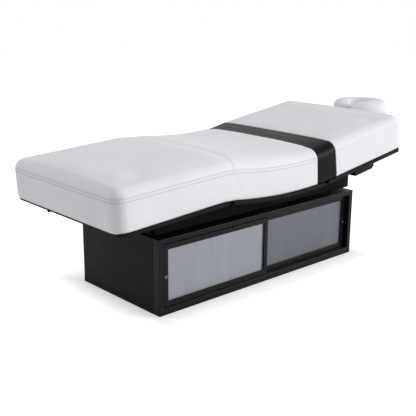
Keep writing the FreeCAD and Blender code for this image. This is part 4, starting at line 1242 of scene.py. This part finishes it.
@dataclass
class Studio:
    """Floor, light and camera of the photograph."""

    place: Triple = (-2.7313, -2.8670, 1.4401)
    yaw: float = math.radians(42.28)
    pitch: float = math.radians(15.685)
    roll: float = math.radians(-0.342)
    lens: float = 65.95
    sensor: float = 36.0
    ambient: float = 0.45
    # The floor glows for the camera; next to the cabinet the glow is dimmer in a strip: a painted shadow.
    painted_shadow_stretch: Triple = (1.7, 0.8, 1.0)
    painted_shadow_reach: float = 0.2
    painted_shadow_glow: float = 0.42
    open_floor_glow: float = 0.78
    floor_half: float = 14.0
    floor_rough: float = 0.7
    floor_specular: float = 0.1
    lamps: tuple[Lamp, ...] = (
        Lamp("front_key", (9.0, -9.0, 3.5), (-1.2, -0.4, 0.5), size=6.0, power=235.0, spread=80.0),
        Lamp("foot_fill", (-3.5, 3.2, 2.2), (-0.8, 0.0, 0.6), size=2.2, power=29.0),
        Lamp("overhead", (0.0, -0.4, 4.2), (0.0, 0.0, 0.5), size=3.6, power=29.0),
    )

    def camera(self) -> None:
        """Sets the camera where the photograph was taken from."""
        data = bpy.data.cameras.new("camera")
        data.sensor_width = self.sensor
        data.lens = self.lens
        camera = bpy.data.objects.new("camera", data)
        level = math.cos(self.pitch)
        ahead = Vector((math.sin(self.yaw) * level, math.cos(self.yaw) * level, -math.sin(self.pitch)))
        level_right = Vector((math.cos(self.yaw), -math.sin(self.yaw), 0.0))
        right = Matrix.Rotation(self.roll, 3, ahead) @ level_right
        axes = Matrix((right, right.cross(ahead), -ahead)).transposed().to_4x4()
        camera.matrix_world = Matrix.Translation(self.place) @ axes
        bpy.context.scene.collection.objects.link(camera)
        bpy.context.scene.camera = camera

    def world(self) -> None:
        """Even ambient light, seen as plain white by the camera and in reflections."""
        world = bpy.data.worlds.new("studio")
        bpy.context.scene.world = world
        world.use_nodes = True
        tree = world.node_tree
        tree.nodes.clear()
        output = tree.nodes.new("ShaderNodeOutputWorld")
        mix = tree.nodes.new("ShaderNodeMixShader")
        tree.links.new(looking_rays(tree), mix.inputs[0])
        for into, strength in zip(mix.inputs[1:], (self.ambient, 1.0)):
            shade = tree.nodes.new("ShaderNodeBackground")
            shade.inputs["Color"].default_value = (*grey(1.0), 1.0)
            shade.inputs["Strength"].default_value = strength
            tree.links.new(shade.outputs[0], into)
        tree.links.new(mix.outputs[0], output.inputs["Surface"])

    def floor(self) -> None:
        """Pale floor that keeps the soft shadow and runs into the white background; for the camera it
        glows, dimmer in a strip along the cabinet's foot as a painted shadow.
        """
        shape = bmesh.new()
        bmesh.ops.create_grid(shape, x_segments=4, y_segments=4, size=self.floor_half)
        piece = mesh_object("floor", shape, smooth=False)
        graph = Graph("floor")
        tree = graph.tree
        graph.ramp(graph.noise(Grain(3.0, 4.0)), grey(0.79), grey(0.81), USUAL_SPAN)
        graph.surface.inputs["Roughness"].default_value = self.floor_rough
        graph.surface.inputs["Specular IOR Level"].default_value = self.floor_specular
        folded = combine(tree, VECTOR_MATH, "ABSOLUTE", graph.coordinates(self.painted_shadow_stretch))
        corner = [size * scale for size, scale in zip(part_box("end_panels")[1], self.painted_shadow_stretch)]
        beyond = graph.add("ShaderNodeSeparateXYZ")
        graph.link(combine(tree, VECTOR_MATH, "SUBTRACT", folded, corner), beyond, "Vector")
        away = combine(tree, MATH, "MAXIMUM", beyond.outputs["X"], beyond.outputs["Y"])
        # Glow rises from the cabinet's foot outwards: the dim strip next to the cabinet is a painted
        # shadow.
        glow_with_painted_shadow = graph.add(
            "ShaderNodeMapRange", From_Min=0.0, From_Max=self.painted_shadow_reach, To_Min=self.painted_shadow_glow,
            To_Max=self.open_floor_glow,
        )
        graph.link(away, glow_with_painted_shadow, "Value")
        seen = combine(tree, MATH, "MULTIPLY", looking_rays(tree), glow_with_painted_shadow.outputs["Result"])
        graph.link(seen, graph.surface, "Emission Strength")
        graph.surface.inputs["Emission Color"].default_value = (*grey(1.0), 1.0)
        piece.data.materials.append(graph.material)

    def build(self) -> None:
        """Sets up the whole studio."""
        self.camera()
        self.world()
        self.floor()
        for lamp in self.lamps:
            lamp.build()
        bpy.context.scene.view_settings.view_transform = "Standard"


def main() -> None:
    """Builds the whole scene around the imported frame."""
    logging.basicConfig(level=logging.INFO, format="%(name)s: %(message)s")
    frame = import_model()
    dress_nodes(frame)
    EasedEdges().build(frame)
    Mattress().build()
    FacePillow().build()
    Studio().build()


if __name__ == "__main__":
    main()
